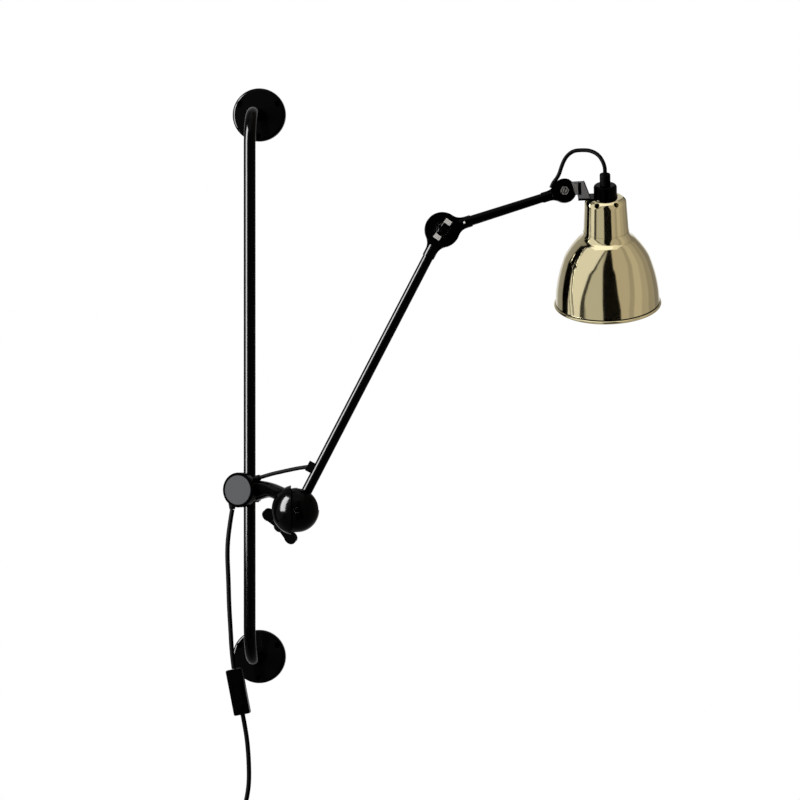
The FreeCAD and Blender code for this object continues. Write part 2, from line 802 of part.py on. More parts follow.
def lower_arm():
    at_ball = arm_frame(ball_centre, LOWER)
    along = frame(ball_centre, LOWER, ARM_FRONT)
    tube = dim.lower_tube_diameter / 2
    bore = tube - dim.tube_wall
    stem = 9.0
    eye_radius = tube + 1.8
    eye_width = dim.lower_tube_diameter + dim.slot_gap
    eye = cylinder("eye_barrel", moved(at_ball, 0, 0, -float(eye_width) / 2), eye_radius, eye_width)
    plug = cylinder("eye_stem", along, bore - dim.fit_gap, 30)
    eye_bore = cylinder(
        "eye_bore", moved(at_ball, 0, 0, -20), dim.pivot_pin_diameter / 2 + dim.fit_gap, 40
    )
    keep(cut("eye", fuse("eye_blank", [eye, plug]), [eye_bore]), "arm_eye")
    end = dim.lower_arm_length - dim.elbow_socket + 12.0
    outside = cylinder("lower_tube_outside", moved(along, 0, 0, stem), tube, end - stem)
    inside = cylinder("lower_tube_inside", moved(along, 0, 0, stem - 1), bore, end)
    eye_clear = cylinder(
        "eye_clear", moved(at_ball, 0, 0, -20), eye_radius + dim.fit_gap, 40
    )
    entry = primitive(
        "Cylinder", "cable_entry", frame(grommet_point(), grommet_axis(), LOWER),
        Radius=dim.cable_diameter / 2 + 0.4, Height=dim.lower_tube_diameter / 2,
    )
    keep(cut("lower_tube", outside, [inside, eye_clear, entry]), "lower_arm_tube")


def hinge_head(label, placement, radius, fillet, neck, socket, bore, thickness, tube_bore):
    """A flat round hinge head with concave shoulders that run into a round socket along x."""
    reach = root_of((radius + fillet) * (radius + fillet) - (neck + fillet) * (neck + fillet))
    half = radius * (float(neck + fillet) / float(radius + fillet))
    low = moved(placement, 0, 0, -float(thickness) / 2)
    disc = cylinder(label + "_disc", low, radius, thickness)
    shoulder = primitive(
        "Box", label + "_shoulder", moved(low, 0, -float(half), 0), Length=reach, Width=half * 2, Height=thickness
    )
    hollows = []
    for side in (1, -1):
        at = moved(low, float(reach), side * float(neck + fillet), -1)
        hollows.append(cylinder(f"{label}_hollow_{side + 1}", at, fillet, thickness + 2))
    web = cut(label + "_web", shoulder, hollows)
    tube_frame = turned(placement, (0, 1, 0), 90)
    sleeve_start = radius + 0.6
    sleeve = cylinder(label + "_sleeve", moved(tube_frame, 0, 0, sleeve_start), neck, socket - sleeve_start)
    flat_sleeve = fuse(label + "_flats", [web, disc])
    blank = fuse(label + "_blank", [flat_sleeve, sleeve])
    tools = [
        cylinder(label + "_bore", moved(placement, 0, 0, -40), bore, 80),
        cylinder(label + "_socket", moved(tube_frame, 0, 0, socket - 12), tube_bore, 40),
    ]
    return cut(label, blank, tools)


def elbow():
    rear = arm_frame(elbow_centre, -LOWER)
    bolt = dim.joint_bolt_diameter / 2
    tube = dim.lower_tube_diameter / 2
    rear_head = hinge_head(
        "rear_head", rear, dim.elbow_radius, dim.elbow_fillet, tube + 0.9, dim.elbow_socket,
        bolt + dim.fit_gap, dim.joint_thickness, tube + dim.fit_gap,
    )
    keep(rear_head, "elbow_rear_head")
    front = arm_frame(fore_root, FORE)
    fore_tube = dim.forearm_root_diameter / 2
    front_head = hinge_head(
        "front_head", front, dim.elbow_radius, dim.elbow_fillet, fore_tube + 0.9, dim.elbow_socket,
        bolt + dim.fit_gap, dim.joint_thickness, fore_tube + dim.fit_gap,
    )
    keep(front_head, "elbow_front_head")
    gap = dim.running_gap
    washer_low = dim.joint_thickness / 2
    washer_frame = frame(elbow_centre, ARM_FRONT, UP)
    keep(
        revolved(
            "elbow_washer_blank", washer_frame,
            ring_outline(bolt + dim.fit_gap, dim.elbow_radius - 1.2, dim.joint_washer - gap, washer_low),
        ),
        "elbow_washer",
    )
    low = dim.joint_thickness / 2
    bolt_frame = frame(elbow_centre - ARM_FRONT * (float(low) + 4.2), ARM_FRONT, UP)
    top = 4.2 + dim.joint_thickness * 2 + dim.joint_washer + 12.5
    keep(
        revolved(
            "elbow_bolt_blank", bolt_frame,
            [(0, 0), (5.5, 0), (8.0, 2.6, 3.2), (8.0, 4.2), (bolt, 4.2), (bolt, top - 1.0), (bolt - 1.0, top), (0, top)],
        ),
        "elbow_bolt",
    )
    face = joint_step + dim.joint_thickness / 2
    keep(
        revolved(
            "nut_washer_blank", washer_frame,
            ring_outline(bolt + dim.fit_gap, 9.0, 1.2, face),
        ),
        "elbow_nut_washer",
    )
    nut_frame = moved(frame(elbow_centre, ARM_FRONT, in_plane(54)), 0, 0, face + 1.2 + gap)
    wings = wing_head(
        "elbow_wing", nut_frame, 6.6, 7.0, dim.elbow_wing_reach, dim.elbow_wing_lobe, dim.elbow_wing_thickness, 7.6
    )
    thread = cylinder("elbow_wing_thread", moved(nut_frame, 0, 0, -2), bolt + dim.fit_gap, 30)
    keep(cut("elbow_wing_solid", wings, [thread]), "elbow_wing_nut")


# ---------------------------------------------------------------- forearm and head joint


def forearm():
    start = dim.elbow_socket - 12.0
    end = dim.forearm_length - dim.head_socket + 9.0
    along = moved(frame(fore_root, FORE, ARM_FRONT), 0, 0, start)
    root, tip = dim.forearm_root_diameter / 2, dim.forearm_tip_diameter / 2
    outside = primitive("Cone", "fore_tube_outside", along, Radius1=root, Radius2=tip, Height=end - start)
    inside = primitive(
        "Cone", "fore_tube_inside", along,
        Radius1=root - dim.tube_wall, Radius2=tip - dim.tube_wall, Height=end - start,
    )
    keep(cut("fore_tube", outside, [inside]), "forearm_tube")
    head = hinge_head(
        "head_end", arm_frame(head_centre, -FORE), dim.head_radius, dim.head_fillet, tip + 0.9, dim.head_socket,
        dim.head_bolt_diameter / 2 + dim.fit_gap, dim.joint_thickness, tip + dim.fit_gap + 0.1,
    )
    outlet = cylinder(
        "cable_outlet", frame(outlet_point() - outlet_axis() * 9, outlet_axis(), FORE),
        dim.cable_diameter / 2 + dim.fit_gap, 30,
    )
    keep(cut("head_end_drilled", head, [outlet]), "forearm_head")


def outlet_axis():
    """The way that the cable leaves the forearm: up, and a little back along the arm."""
    return in_plane(float(dim.forearm_angle) + 56)


def outlet_point():
    """Where the cable leaves the forearm, on the upper side of the head's neck."""
    along = float(dim.head_radius) + 1.0
    return head_centre - FORE * along + in_plane(float(dim.forearm_angle) + 90) * (float(dim.forearm_tip_diameter) / 2)


def head_joint():
    gap = dim.running_gap
    bolt = dim.head_bolt_diameter / 2
    half = dim.joint_thickness / 2
    keep(
        revolved(
            "head_washer_blank", frame(head_centre, ARM_FRONT, UP),
            ring_outline(bolt + dim.fit_gap, dim.head_radius - 0.8, dim.joint_washer - gap, half),
        ),
        "head_washer",
    )
    fork_frame = frame(fork_centre, ARM_FRONT, FORK)
    thick = dim.fork_thickness
    low = moved(fork_frame, 0, 0, -float(thick) / 2)
    disc = cylinder("fork_disc", low, dim.head_radius, thick)
    flat = box("fork_trim", moved(low, float(dim.fork_flat) + 15, 0, -1), 30.0, dim.head_radius * 3, thick + 2)
    tongue = box(
        "fork_tongue", moved(low, float(dim.fork_reach) / 2, 0, 0), dim.fork_reach, dim.fork_tongue, thick
    )
    bore = cylinder("fork_bore", moved(fork_frame, 0, 0, -20), bolt + dim.fit_gap, 40)
    pin_bore = swivel_pin_solid("fork_pin_bore", dim.fit_gap)
    body = fuse("fork_blank", [cut("fork_round", disc, [flat]), tongue])
    keep(cut("fork", body, [bore, pin_bore]), "head_fork")
    rear = half + 4.0
    top = rear + half + dim.joint_washer + thick + 5.2
    bolt_frame = moved(frame(head_centre, ARM_FRONT, UP), 0, 0, -float(rear))
    keep(
        revolved(
            "head_bolt_blank", bolt_frame,
            [(0, 0), (3.6, 0), (4.6, 1.2, 1.4), (4.6, 4.0), (bolt, 4.0), (bolt, top), (0, top)],
        ),
        "head_bolt",
    )
    nut_frame = moved(fork_frame, 0, 0, thick / 2 + gap)
    nut = doc.addObject("Part::Prism", "head_nut_blank")
    nut.Polygon = 6
    bind(nut, "Circumradius", dim.head_bolt_diameter)
    bind(nut, "Height", dim.head_bolt_diameter * 0.8)
    nut.Placement = nut_frame
    hole = cylinder("head_nut_bore", moved(nut_frame, 0, 0, -1), bolt + dim.fit_gap, 20)
    keep(cut("head_nut_solid", nut, [hole]), "head_nut")


def swivel_pin_solid(label, extra):
    """The swivel pin, along the fork's tongue and through the stirrup's web."""
    start = frame(swivel_centre - FORK * 8.5, FORK, ARM_FRONT)
    return cylinder(label, start, dim.swivel_pin_diameter / 2 + extra, 8.5 + 6.0)


def stirrup():
    """A bent plate: a web on the swivel pin and two slanted cheeks that stand on the shade's strap."""
    pin = dim.swivel_pin_diameter / 2
    keep(swivel_pin_solid("swivel_pin_solid", 0.0), "swivel_pin")
    plate = dim.stirrup_plate
    depth = dim.stirrup_depth
    foot = dim.stirrup_foot
    low = moved(stirrup_frame, 0, 0, -float(depth) / 2)
    web_start = dim.running_gap * 2
    web_height = foot + 13.0
    web_at = moved(low, web_start + plate / 2, web_height / 2 - foot, 0)
    pieces = [box("stirrup_web", web_at, plate, web_height, depth)]
    rear = [(0.0, 0.0), (13.4, 0.0), (6.4, 21.0), (0.0, 21.0)]
    front = [(7.2, 0.0), (21.0, 0.0), (13.9, 22.4), (0.0, 21.4), (3.9, 6.8), (7.2, 5.6)]
    pieces.append(padded("stirrup_rear_cheek", moved(low, web_start, -float(foot), 0), rear, plate))
    front_at = moved(low, float(web_start) - 7.2, -float(foot), float(depth) - float(plate))
    pieces.append(padded("stirrup_front_cheek", front_at, front, plate))
    slot_at = moved(low, float(web_start) + 2.6, 4.5, float(depth) - float(plate) - 1)
    tools = [
        box("stirrup_slot", slot_at, 1.6, 13.0, plate + 2.0),
        cylinder("stirrup_bore", frame(swivel_centre - FORK * 5, FORK, UP), pin + dim.fit_gap, 30),
    ]
    keep(cut("stirrup_solid", fuse("stirrup_blank", pieces), tools), "stirrup")
    nut_frame = frame(swivel_centre + FORK * float(web_start + plate + 0.1), FORK, UP)
    keep(
        revolved("swivel_nut_blank", nut_frame, ring_outline(pin + dim.fit_gap, 4.0, 3.0)),
        "swivel_nut",
    )


# ---------------------------------------------------------------- shade and lampholder

strap_level = dim.shade_drop - dim.stirrup_foot - dim.strap_thickness
cap_top = strap_level - dim.fit_gap


def bell():
    wall = dim.shade_wall

    def outline(inset):
        top = dim.bell_height
        return [
            (0, 0.0),
            (dim.bell_foot_radius - inset, 0.0),
            (dim.bell_side_radius - inset, top - dim.bell_side_drop),
            (dim.bell_mid_radius - inset, top - dim.bell_mid_drop, dim.bell_low_curve),
            (dim.bell_flare_radius - inset, top - dim.bell_flare_drop, dim.bell_curve),
            (dim.bell_neck_radius - inset, top, dim.bell_flare_curve * -1),
            (0, top),
        ]

    outer = revolved("bell_outside", shade_frame, outline(0.0))
    inner = revolved("bell_inside", moved(shade_frame, 0, 0, -float(wall) * 0.4), outline(wall))
    throat = cylinder(
        "bell_throat", moved(shade_frame, 0, 0, 20), dim.bell_neck_radius - wall * 2, dim.bell_height
    )
    bead = primitive(
        "Torus", "bell_bead", moved(shade_frame, 0, 0, 0),
        Radius1=dim.bell_foot_radius, Radius2=dim.rim_bead, Angle1=-180, Angle2=180, Angle3=360,
    )
    shell = cut("bell_shell", outer, [inner, throat])
    keep(fuse("bell_solid", [shell, bead]), "shade_bell")


def cap():
    wall = dim.shade_wall
    base = dim.bell_height + dim.fit_gap
    top = cap_top
    shoulder = dim.cap_shoulder

    def outline(inset, end):
        return [
            (0, base),
            (dim.cap_foot_radius - inset, base),
            (dim.cap_top_radius - inset, end - shoulder),
            (dim.cap_top_radius - shoulder - inset, end, shoulder),
            (0, end),
        ]

    outer = revolved("cap_outside", shade_frame, outline(0.0, top))
    inner = revolved("cap_inside", moved(shade_frame, 0, 0, -0.001), outline(wall, top - wall))
    hole = cylinder("cap_hole", moved(shade_frame, 0, 0, float(top) - 5), dim.gland_radius - 0.8, 10)
    tools = [inner, hole]
    vent_at = moved(shade_frame, 0, 0, float(top - shoulder))
    for i in range(6):
        spoke = turned(vent_at, (0, 0, 1), 60 * i)
        aim = turned(moved(spoke, float(dim.cap_top_radius - shoulder)), (0, 1, 0), 50)
        tools.append(cylinder(f"vent_{i}", aim, dim.vent_diameter / 2, 20))
    keep(cut("cap_solid", outer, tools), "shade_cap")


def lampholder():
    top = strap_level + dim.strap_thickness + dim.fit_gap
    ring = dim.ring_radius
    keep(
        revolved(
            "ring_blank", shade_frame,
            [
                (dim.gland_radius - 0.8, top),
                (ring, top),
                (ring, top + dim.ring_height - 3.0),
                (ring - 3.0, top + dim.ring_height, 3.0),
                (dim.gland_radius - 0.8, top + dim.ring_height),
            ],
        ),
        "holder_ring",
    )
    gland_base = top + dim.ring_height
    bore = dim.cable_diameter / 2 + dim.fit_gap
    gland = dim.gland_radius
    keep(
        revolved(
            "gland_blank", shade_frame,
            [
                (bore, gland_base),
                (gland, gland_base),
                (gland, gland_base + dim.gland_height - 1.2),
                (gland - 1.2, gland_base + dim.gland_height, 1.2),
                (bore, gland_base + dim.gland_height),
            ],
        ),
        "cable_gland",
    )
    holder_top = cap_top - dim.shade_wall - dim.fit_gap
    holder_low = holder_top - dim.holder_length
    spigot = dim.gland_radius - 0.9
    keep(
        revolved(
            "holder_blank", shade_frame,
            [
                (0, holder_low + 20.0),
                (dim.bulb_base_radius + 0.3, holder_low + 20.0),
                (dim.bulb_base_radius + 0.3, holder_low),
                (dim.holder_radius - 1.0, holder_low),
                (dim.holder_radius, holder_low + 2.0),
                (dim.holder_radius, holder_top - 2.0),
                (dim.holder_radius - 2.0, holder_top),
                (spigot, holder_top),
                (spigot, gland_base - 0.1),
                (0, gland_base - 0.1),
            ],
        ),
        "lampholder",
    )
    base_low = holder_low + 20.0 - dim.bulb_base_length - 0.4
    keep(
        revolved(
            "bulb_base_blank", shade_frame,
            [
                (0, base_low),
                (dim.bulb_base_radius, base_low),
                (dim.bulb_base_radius, base_low + dim.bulb_base_length - 3.0),
                (dim.bulb_base_radius - 3.0, base_low + dim.bulb_base_length),
                (0, base_low + dim.bulb_base_length),
            ],
        ),
        "bulb_base",
    )
    globe = primitive("Sphere", "bulb_globe", moved(shade_frame, 0, 0, dim.bulb_centre_height), Radius=dim.bulb_radius)
    neck_start = dim.bulb_centre_height + dim.bulb_radius * 0.7
    neck = primitive(
        "Cone", "bulb_neck", moved(shade_frame, 0, 0, neck_start),
        Radius1=dim.bulb_radius * 0.71, Radius2=dim.bulb_neck_radius, Height=base_low - 0.05 - neck_start,
    )
    keep(fuse("bulb_solid", [globe, neck]), "bulb_glass")


def shade_strap():
    """The flat strap between ring and cap that carries the shade on the stirrup's feet."""
    level = moved(shade_frame, 0, 0, strap_level)
    thick = dim.strap_thickness
    eye = cylinder("strap_eye", level, dim.ring_radius + 0.6, thick)
    reach = dim.shade_offset - dim.fork_reach - dim.running_gap * 2
    band = primitive(
        "Box", "strap_band", moved(level, -float(reach), -float(dim.stirrup_depth) / 2, 0),
        Length=reach, Width=dim.stirrup_depth, Height=thick,
    )
    hole = cylinder("strap_hole", moved(level, 0, 0, -5), dim.gland_radius - 0.8, 20)
    keep(cut("strap", fuse("strap_blank", [eye, band]), [hole]), "shade_strap")


# ---------------------------------------------------------------- cables


def grommet_axis():
    """Square to the lower arm, towards its upper left side."""
    return in_plane(float(dim.lower_arm_angle) + 90)


def grommet_point():
    return ball_centre + LOWER * float(dim.grommet_along)


def turn_at(before, at, after):
    first = (at - before).normalize()
    second = (after - at).normalize()
    return first.getAngle(second)


def route_path(points):
    """Straight runs joined by tangent arcs, each as large as its two runs allow."""
    edges = []
    here = points[0]
    for before, at, after in zip(points, points[1:], points[2:]):
        turn = turn_at(before, at, after)
        cutback = 0.45 * min((at - before).Length, (after - at).Length)
        start = at + (before - at).normalize() * cutback
        end = at + (after - at).normalize() * cutback
        radius = cutback / math.tan(turn / 2)
        inward = (start + end) / 2 - at
        centre = at + inward.normalize() * math.hypot(cutback, radius)
        middle = centre + (at - centre).normalize() * radius
        edges.append(Part.LineSegment(here, start).toShape())
        edges.append(Part.Arc(start, middle, end).toShape())
        here = end
        print(f"  cable radius {radius:.1f}")
    edges.append(Part.LineSegment(here, points[-1]).toShape())
    return Part.Wire(edges)


def cable(label, points, diameter):
    """A cable's plain tube along a hand-laid route."""
    print(label)
    path = route_path(points)
    ring = Part.Wire(Part.Circle(points[0], points[1] - points[0], float(diameter) / 2).toShape())
    solid = path.makePipeShell([ring], True, True)
    section = math.pi * (float(diameter) / 2) ** 2
    print(f"  length {path.Length:.1f}, volume ratio {solid.Volume / (section * path.Length):.4f}")
    feature = doc.addObject("Part::Feature", label + "_tube")
    feature.Shape = solid
    return keep(feature, label)


def arm_cable_end():
    """The cable's end, inside its seat in the grommet."""
    return grommet_point() + grommet_axis() * 9.6


def arm_grommet():
    """A block that sits on the lower arm's side, where the cable enters the tube."""
    tube = dim.lower_tube_diameter / 2
    block_frame = frame(grommet_point(), grommet_axis(), LOWER)
    block = box(
        "grommet_block", block_frame, dim.grommet_width, dim.grommet_width * 0.75, tube + dim.grommet_rise
    )
    seat = cylinder(
        "grommet_seat", frame(ball_centre, LOWER, ARM_FRONT), tube + dim.fit_gap, dim.lower_arm_length
    )
    end = arm_cable_end()
    entry = jumper_top + (end - jumper_top) * 0.76 + UP * 1.2
    cable_seat = cylinder(
        "cable_seat", frame(end - (entry - end) * 0.02, entry - end, LOWER), dim.cable_diameter / 2 + dim.fit_gap * 2, 16
    )
    keep(cut("grommet", block, [seat, cable_seat]), "arm_grommet")


def plane_point(origin, side, up, front):
    return origin + direction(side, up) + ARM_FRONT * front


def arm_cable():
    """The short, nearly straight cable from the neck to the lower arm, in two lengths that meet halfway."""
    end = arm_cable_end()
    start = jumper_top + JUMPER_AXIS * 0.3
    rear = start + (end - start) * 0.24 + UP * 1.2
    entry = start + (end - start) * 0.76 + UP * 1.2
    split = (rear + entry) / 2
    cable("arm_cable_rear", [start, rear, split], dim.cable_diameter)
    cable("arm_cable_front", [split, entry, end], dim.cable_diameter)


def head_cable():
    """The loop over the head joint, in two lengths that meet at its top."""
    top = shade_base + SHADE_UP * float(gland_top())
    before = plane_point(head_centre, 13.0, 44.8, 4.5)
    after = plane_point(head_centre, 27.5, 45.6, 10.5)
    split = (before + after) / 2
    cable(
        "head_cable_rear",
        [
            outlet_point() + outlet_axis() * 3.2,
            outlet_point() + outlet_axis() * 9.8,
            plane_point(head_centre, -4.7, 25.0, 0.8),
            plane_point(head_centre, 2.4, 38.0, 2.0),
            before,
            split,
        ],
        dim.cable_diameter,
    )
    cable(
        "head_cable_front",
        [
            split,
            after,
            plane_point(head_centre, 39.5, 40.5, 17.5),
            top + SHADE_UP * 11.0,
            top,
        ],
        dim.cable_diameter,
    )


def gland_top():
    ring_base = strap_level + dim.strap_thickness + dim.fit_gap
    return ring_base + dim.ring_height + dim.gland_height


def rounded(label, base, radius):
    """A copy of a solid with every edge rounded."""
    doc.recompute()
    fillet = doc.addObject("Part::Fillet", label)
    fillet.Base = base
    count = len(base.Shape.Edges)
    fillet.Edges = [(i + 1, float(radius), float(radius)) for i in range(count)]
    return fillet


def cord_switch():
    """The cord's switch: a back shell, a front shell and a rocker in the front shell's window."""
    centre = frame(switch_centre, OUT, SWITCH_UP)
    half = dim.switch_depth / 2
    back = rounded("switch_back_solid", box(
        "switch_back_block", moved(centre, 0, 0, -float(half)), dim.switch_length, dim.switch_width, half
    ), 2.0)
    keep(back, "switch_back_shell")
    front = rounded("switch_front_solid", box(
        "switch_front_block", moved(centre, 0, 0, dim.fit_gap), dim.switch_length, dim.switch_width, half
    ), 2.0)
    window_length = dim.switch_length * 0.4
    window_width = dim.switch_width * 0.5
    window = box("switch_window", moved(centre, 0, 0, 2.4), window_length, window_width, half)
    keep(cut("switch_front", front, [window]), "switch_front_shell")
    gap = 0.6
    length = window_length - gap * 2
    width = window_width - gap * 2
    rocker_frame = frame(centre.Base, SWITCH_UP.cross(OUT), SWITCH_UP)
    at = moved(rocker_frame, 0, 0, -float(width) / 2)
    side = float(length) / 2
    top = float(half)
    outline = [
        (-side, top - 3.4),
        (side, top - 3.4),
        (side, top + 0.6),
        (0.0, top - 0.4, -45.0),
        (-side, top + 1.6, -45.0),
    ]
    keep(padded("rocker", at, outline, width), "switch_rocker")


def mains_cord():
    """The mains lead: gland to switch, switch to the tied coil, and the coil's tail to the plug."""
    start = mains_top - UP * (float(dim.mains_gland_length) + 0.55)
    switch_in = switch_centre + SWITCH_UP * (float(dim.switch_length) / 2 + 0.3)
    switch_out = switch_centre - SWITCH_UP * (float(dim.switch_length) / 2 + 0.1)
    cable(
        "mains_cord_upper",
        [
            start,
            Vector(-22.4, -107.0, 150.0),
            Vector(-24.4, -110.5, 124.0),
            Vector(-22.6, -112.5, 92.0),
            Vector(-21.6, -114.5, 62.0),
            Vector(-19.6, -116.5, 34.0),
            Vector(-18.2, -118.0, 10.0),
            switch_in,
        ],
        dim.mains_diameter,
    )
    coil_entry = coil_centre + Vector(-25.1, 0, 14.5)
    cable(
        "mains_cord_lower",
        [
            switch_out,
            switch_out - SWITCH_UP * 11.0,
            Vector(-0.4, -119.0, -90.0),
            Vector(1.4, -119.0, -114.0),
            Vector(1.6, -119.0, -140.0),
            Vector(-3.0, -119.0, -164.0),
            Vector(-11.6, -119.0, -184.0),
            coil_entry,
        ],
        dim.mains_diameter,
    )
    keep(
        primitive(
            "Torus", "coil_ring", frame(coil_centre, OUT, SIDE),
            Radius1=dim.coil_radius, Radius2=dim.coil_bundle_radius, Angle1=-180, Angle2=180, Angle3=360,
        ),
        "mains_cord_coil",
    )
    tail_start = coil_centre + SIDE * -float(dim.coil_radius)
    cable(
        "mains_cord_tail",
        [tail_start, tail_start + Vector(0.6, 0, -25.0), plug_top],
        dim.mains_diameter,
    )


def coil_tie():
    """A band round the coil's upper side."""
    at = coil_centre + UP * float(dim.coil_radius)
    band_frame = frame(at - SIDE * (float(dim.tie_width) / 2), SIDE, UP)
    inner = dim.coil_bundle_radius + 0.3
    band = revolved("tie_band", band_frame, ring_outline(inner, inner + 1.0, dim.tie_width))
    keep(band, "coil_tie")


def plug():
    """A flat two-pin plug that hangs from the coil's tail."""
    down = frame(plug_top - UP * 0.2, -UP, SIDE)
    relief = dim.mains_diameter / 2
    neck = primitive(
        "Cone", "plug_relief", down, Radius1=relief + 0.9, Radius2=relief + 2.6, Height=14.0
    )
    body = rounded("plug_block_rounded", box(
        "plug_block", moved(down, 0, 0, 13.0), dim.plug_width, dim.plug_depth, dim.plug_length
    ), 3.0)
    keep(fuse("plug_solid", [neck, body]), "plug_body")
    for name, side in (("left", -1), ("right", 1)):
        at = moved(down, side * float(dim.plug_pin_spacing) / 2, 0, 13.0 + float(dim.plug_length))
        pin = cylinder(f"plug_{name}", at, dim.plug_pin_diameter / 2, dim.plug_pin_length)
        keep(pin, f"plug_pin_{name}")


rail_tube()
wall_disc("lower")
wall_disc("upper")
slider_bush()
bracket_arm()
glands()
clamp_knob()
ball_wing_screw()
pivot_ball()
lower_arm()
elbow()
forearm()
head_joint()
stirrup()
bell()
cap()
lampholder()
shade_strap()
arm_grommet()
arm_cable()
head_cable()
cord_switch()
mains_cord()
coil_tie()
plug()

doc.recompute()

# ---------------------------------------------------------------- checks and export

bad = []
for obj in doc.Objects:
    if {"Invalid", "Error"} & set(obj.State):
        bad.append(f"{obj.Label}: {obj.State}")
for obj in subparts:
    if obj.Shape.isNull() or not obj.Shape.isValid():
        bad.append(f"{obj.Label}: shape")
if bad:
    raise RuntimeError("; ".join(bad))
os.makedirs("parts", exist_ok=True)
for obj in subparts:
    obj.Shape.exportStep(f"parts/{obj.Label}.step")
    print(obj.Label, len(obj.Shape.Solids), f"{obj.Shape.Volume / 1000:.2f} cm3")
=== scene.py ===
"""Wall lamp on a rail: looks, cords, studio and camera. Metres, +Z up, the wall is the plane Y = 0."""

import json
import math

import bmesh
import bpy
import numpy as np
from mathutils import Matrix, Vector

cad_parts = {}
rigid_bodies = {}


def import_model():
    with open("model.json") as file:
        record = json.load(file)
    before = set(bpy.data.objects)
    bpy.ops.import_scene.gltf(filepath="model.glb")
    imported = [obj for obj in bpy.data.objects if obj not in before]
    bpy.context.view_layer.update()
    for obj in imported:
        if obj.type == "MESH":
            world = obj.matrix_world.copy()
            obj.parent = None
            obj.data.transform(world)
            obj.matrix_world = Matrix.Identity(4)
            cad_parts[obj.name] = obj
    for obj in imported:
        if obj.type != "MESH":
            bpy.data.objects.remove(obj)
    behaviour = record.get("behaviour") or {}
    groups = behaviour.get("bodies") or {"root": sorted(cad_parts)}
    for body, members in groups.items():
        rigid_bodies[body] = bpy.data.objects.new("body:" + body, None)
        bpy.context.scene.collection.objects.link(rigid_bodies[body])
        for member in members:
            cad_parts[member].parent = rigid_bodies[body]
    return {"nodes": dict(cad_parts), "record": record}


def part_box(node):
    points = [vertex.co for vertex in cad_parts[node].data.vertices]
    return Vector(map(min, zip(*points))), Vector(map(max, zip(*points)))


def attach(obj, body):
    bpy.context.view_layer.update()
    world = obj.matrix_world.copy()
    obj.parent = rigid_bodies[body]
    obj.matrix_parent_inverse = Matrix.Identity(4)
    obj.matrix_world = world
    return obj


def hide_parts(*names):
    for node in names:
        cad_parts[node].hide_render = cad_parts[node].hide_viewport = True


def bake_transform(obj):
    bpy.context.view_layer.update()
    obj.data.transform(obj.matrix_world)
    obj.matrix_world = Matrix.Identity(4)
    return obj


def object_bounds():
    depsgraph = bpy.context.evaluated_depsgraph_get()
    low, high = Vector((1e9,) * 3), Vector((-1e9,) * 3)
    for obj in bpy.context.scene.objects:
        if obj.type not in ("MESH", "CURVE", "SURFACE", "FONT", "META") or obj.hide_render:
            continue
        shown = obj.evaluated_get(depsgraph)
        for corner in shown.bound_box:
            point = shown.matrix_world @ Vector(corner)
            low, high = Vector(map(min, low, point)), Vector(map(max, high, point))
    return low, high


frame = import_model()
nodes = frame["nodes"]
cad_low, cad_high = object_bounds()
scene = bpy.context.scene
MM = 0.001

# ---------------------------------------------------------------- frames that repeat the part's own

YAW = math.radians(6.0)
ARM_SIDE = Vector((math.cos(YAW), math.sin(YAW), 0))
ARM_FRONT = Vector((math.sin(YAW), -math.cos(YAW), 0))
UP = Vector((0, 0, 1))


def mm(x, y, z):
    """A vector given in mm."""
    return Vector((x, y, z)) * MM


def in_plane(degrees):
    """A direction in the plane of the arms, by its angle above the horizontal."""
    angle = math.radians(degrees)
    return ARM_SIDE * math.cos(angle) + UP * math.sin(angle)


SLIDER = mm(0, -100, 192.5)
BALL = mm(59.5, -154, 170.8)
LOWER_ANGLE, FORE_ANGLE, FORK_ANGLE = 62.6, 17.7, 2.5
LOWER = in_plane(LOWER_ANGLE)
FORE = in_plane(FORE_ANGLE)
FORK = in_plane(FORK_ANGLE)
FORK_UP = in_plane(FORK_ANGLE + 90)
LOWER_LENGTH, FORE_LENGTH = 352.4 * MM, 143.0 * MM
ELBOW_STEP, HEAD_STEP = 10.0 * MM, 8.5 * MM
ELBOW = BALL + LOWER * LOWER_LENGTH
HEAD = ELBOW + ARM_FRONT * ELBOW_STEP + FORE * FORE_LENGTH
FORK_CENTRE = HEAD + ARM_FRONT * HEAD_STEP
SWIVEL = FORK_CENTRE + FORK * (14.5 * MM)
LEAN = math.radians(23.0)
SHADE_OUT, SHADE_DROP = 45.5 * MM, 137.5 * MM
SHADE_UP = FORK_UP * math.cos(LEAN) + ARM_FRONT * math.sin(LEAN)
SHADE_FRONT = ARM_FRONT * math.cos(LEAN) - FORK_UP * math.sin(LEAN)
SHADE_BASE = FORK_CENTRE + FORK * SHADE_OUT - SHADE_UP * SHADE_DROP
STRAP_LEVEL, STRAP, FIT_GAP, RING_HEIGHT, GLAND_HEIGHT = 128.0, 1.5, 0.05, 13.0, 13.0
GLAND_TOP = (STRAP_LEVEL + STRAP + FIT_GAP + RING_HEIGHT + GLAND_HEIGHT) * MM

# ---------------------------------------------------------------- materials

GRAIN_SCALE = 400.0
GRAIN_DEPTH = 0.2 * MM


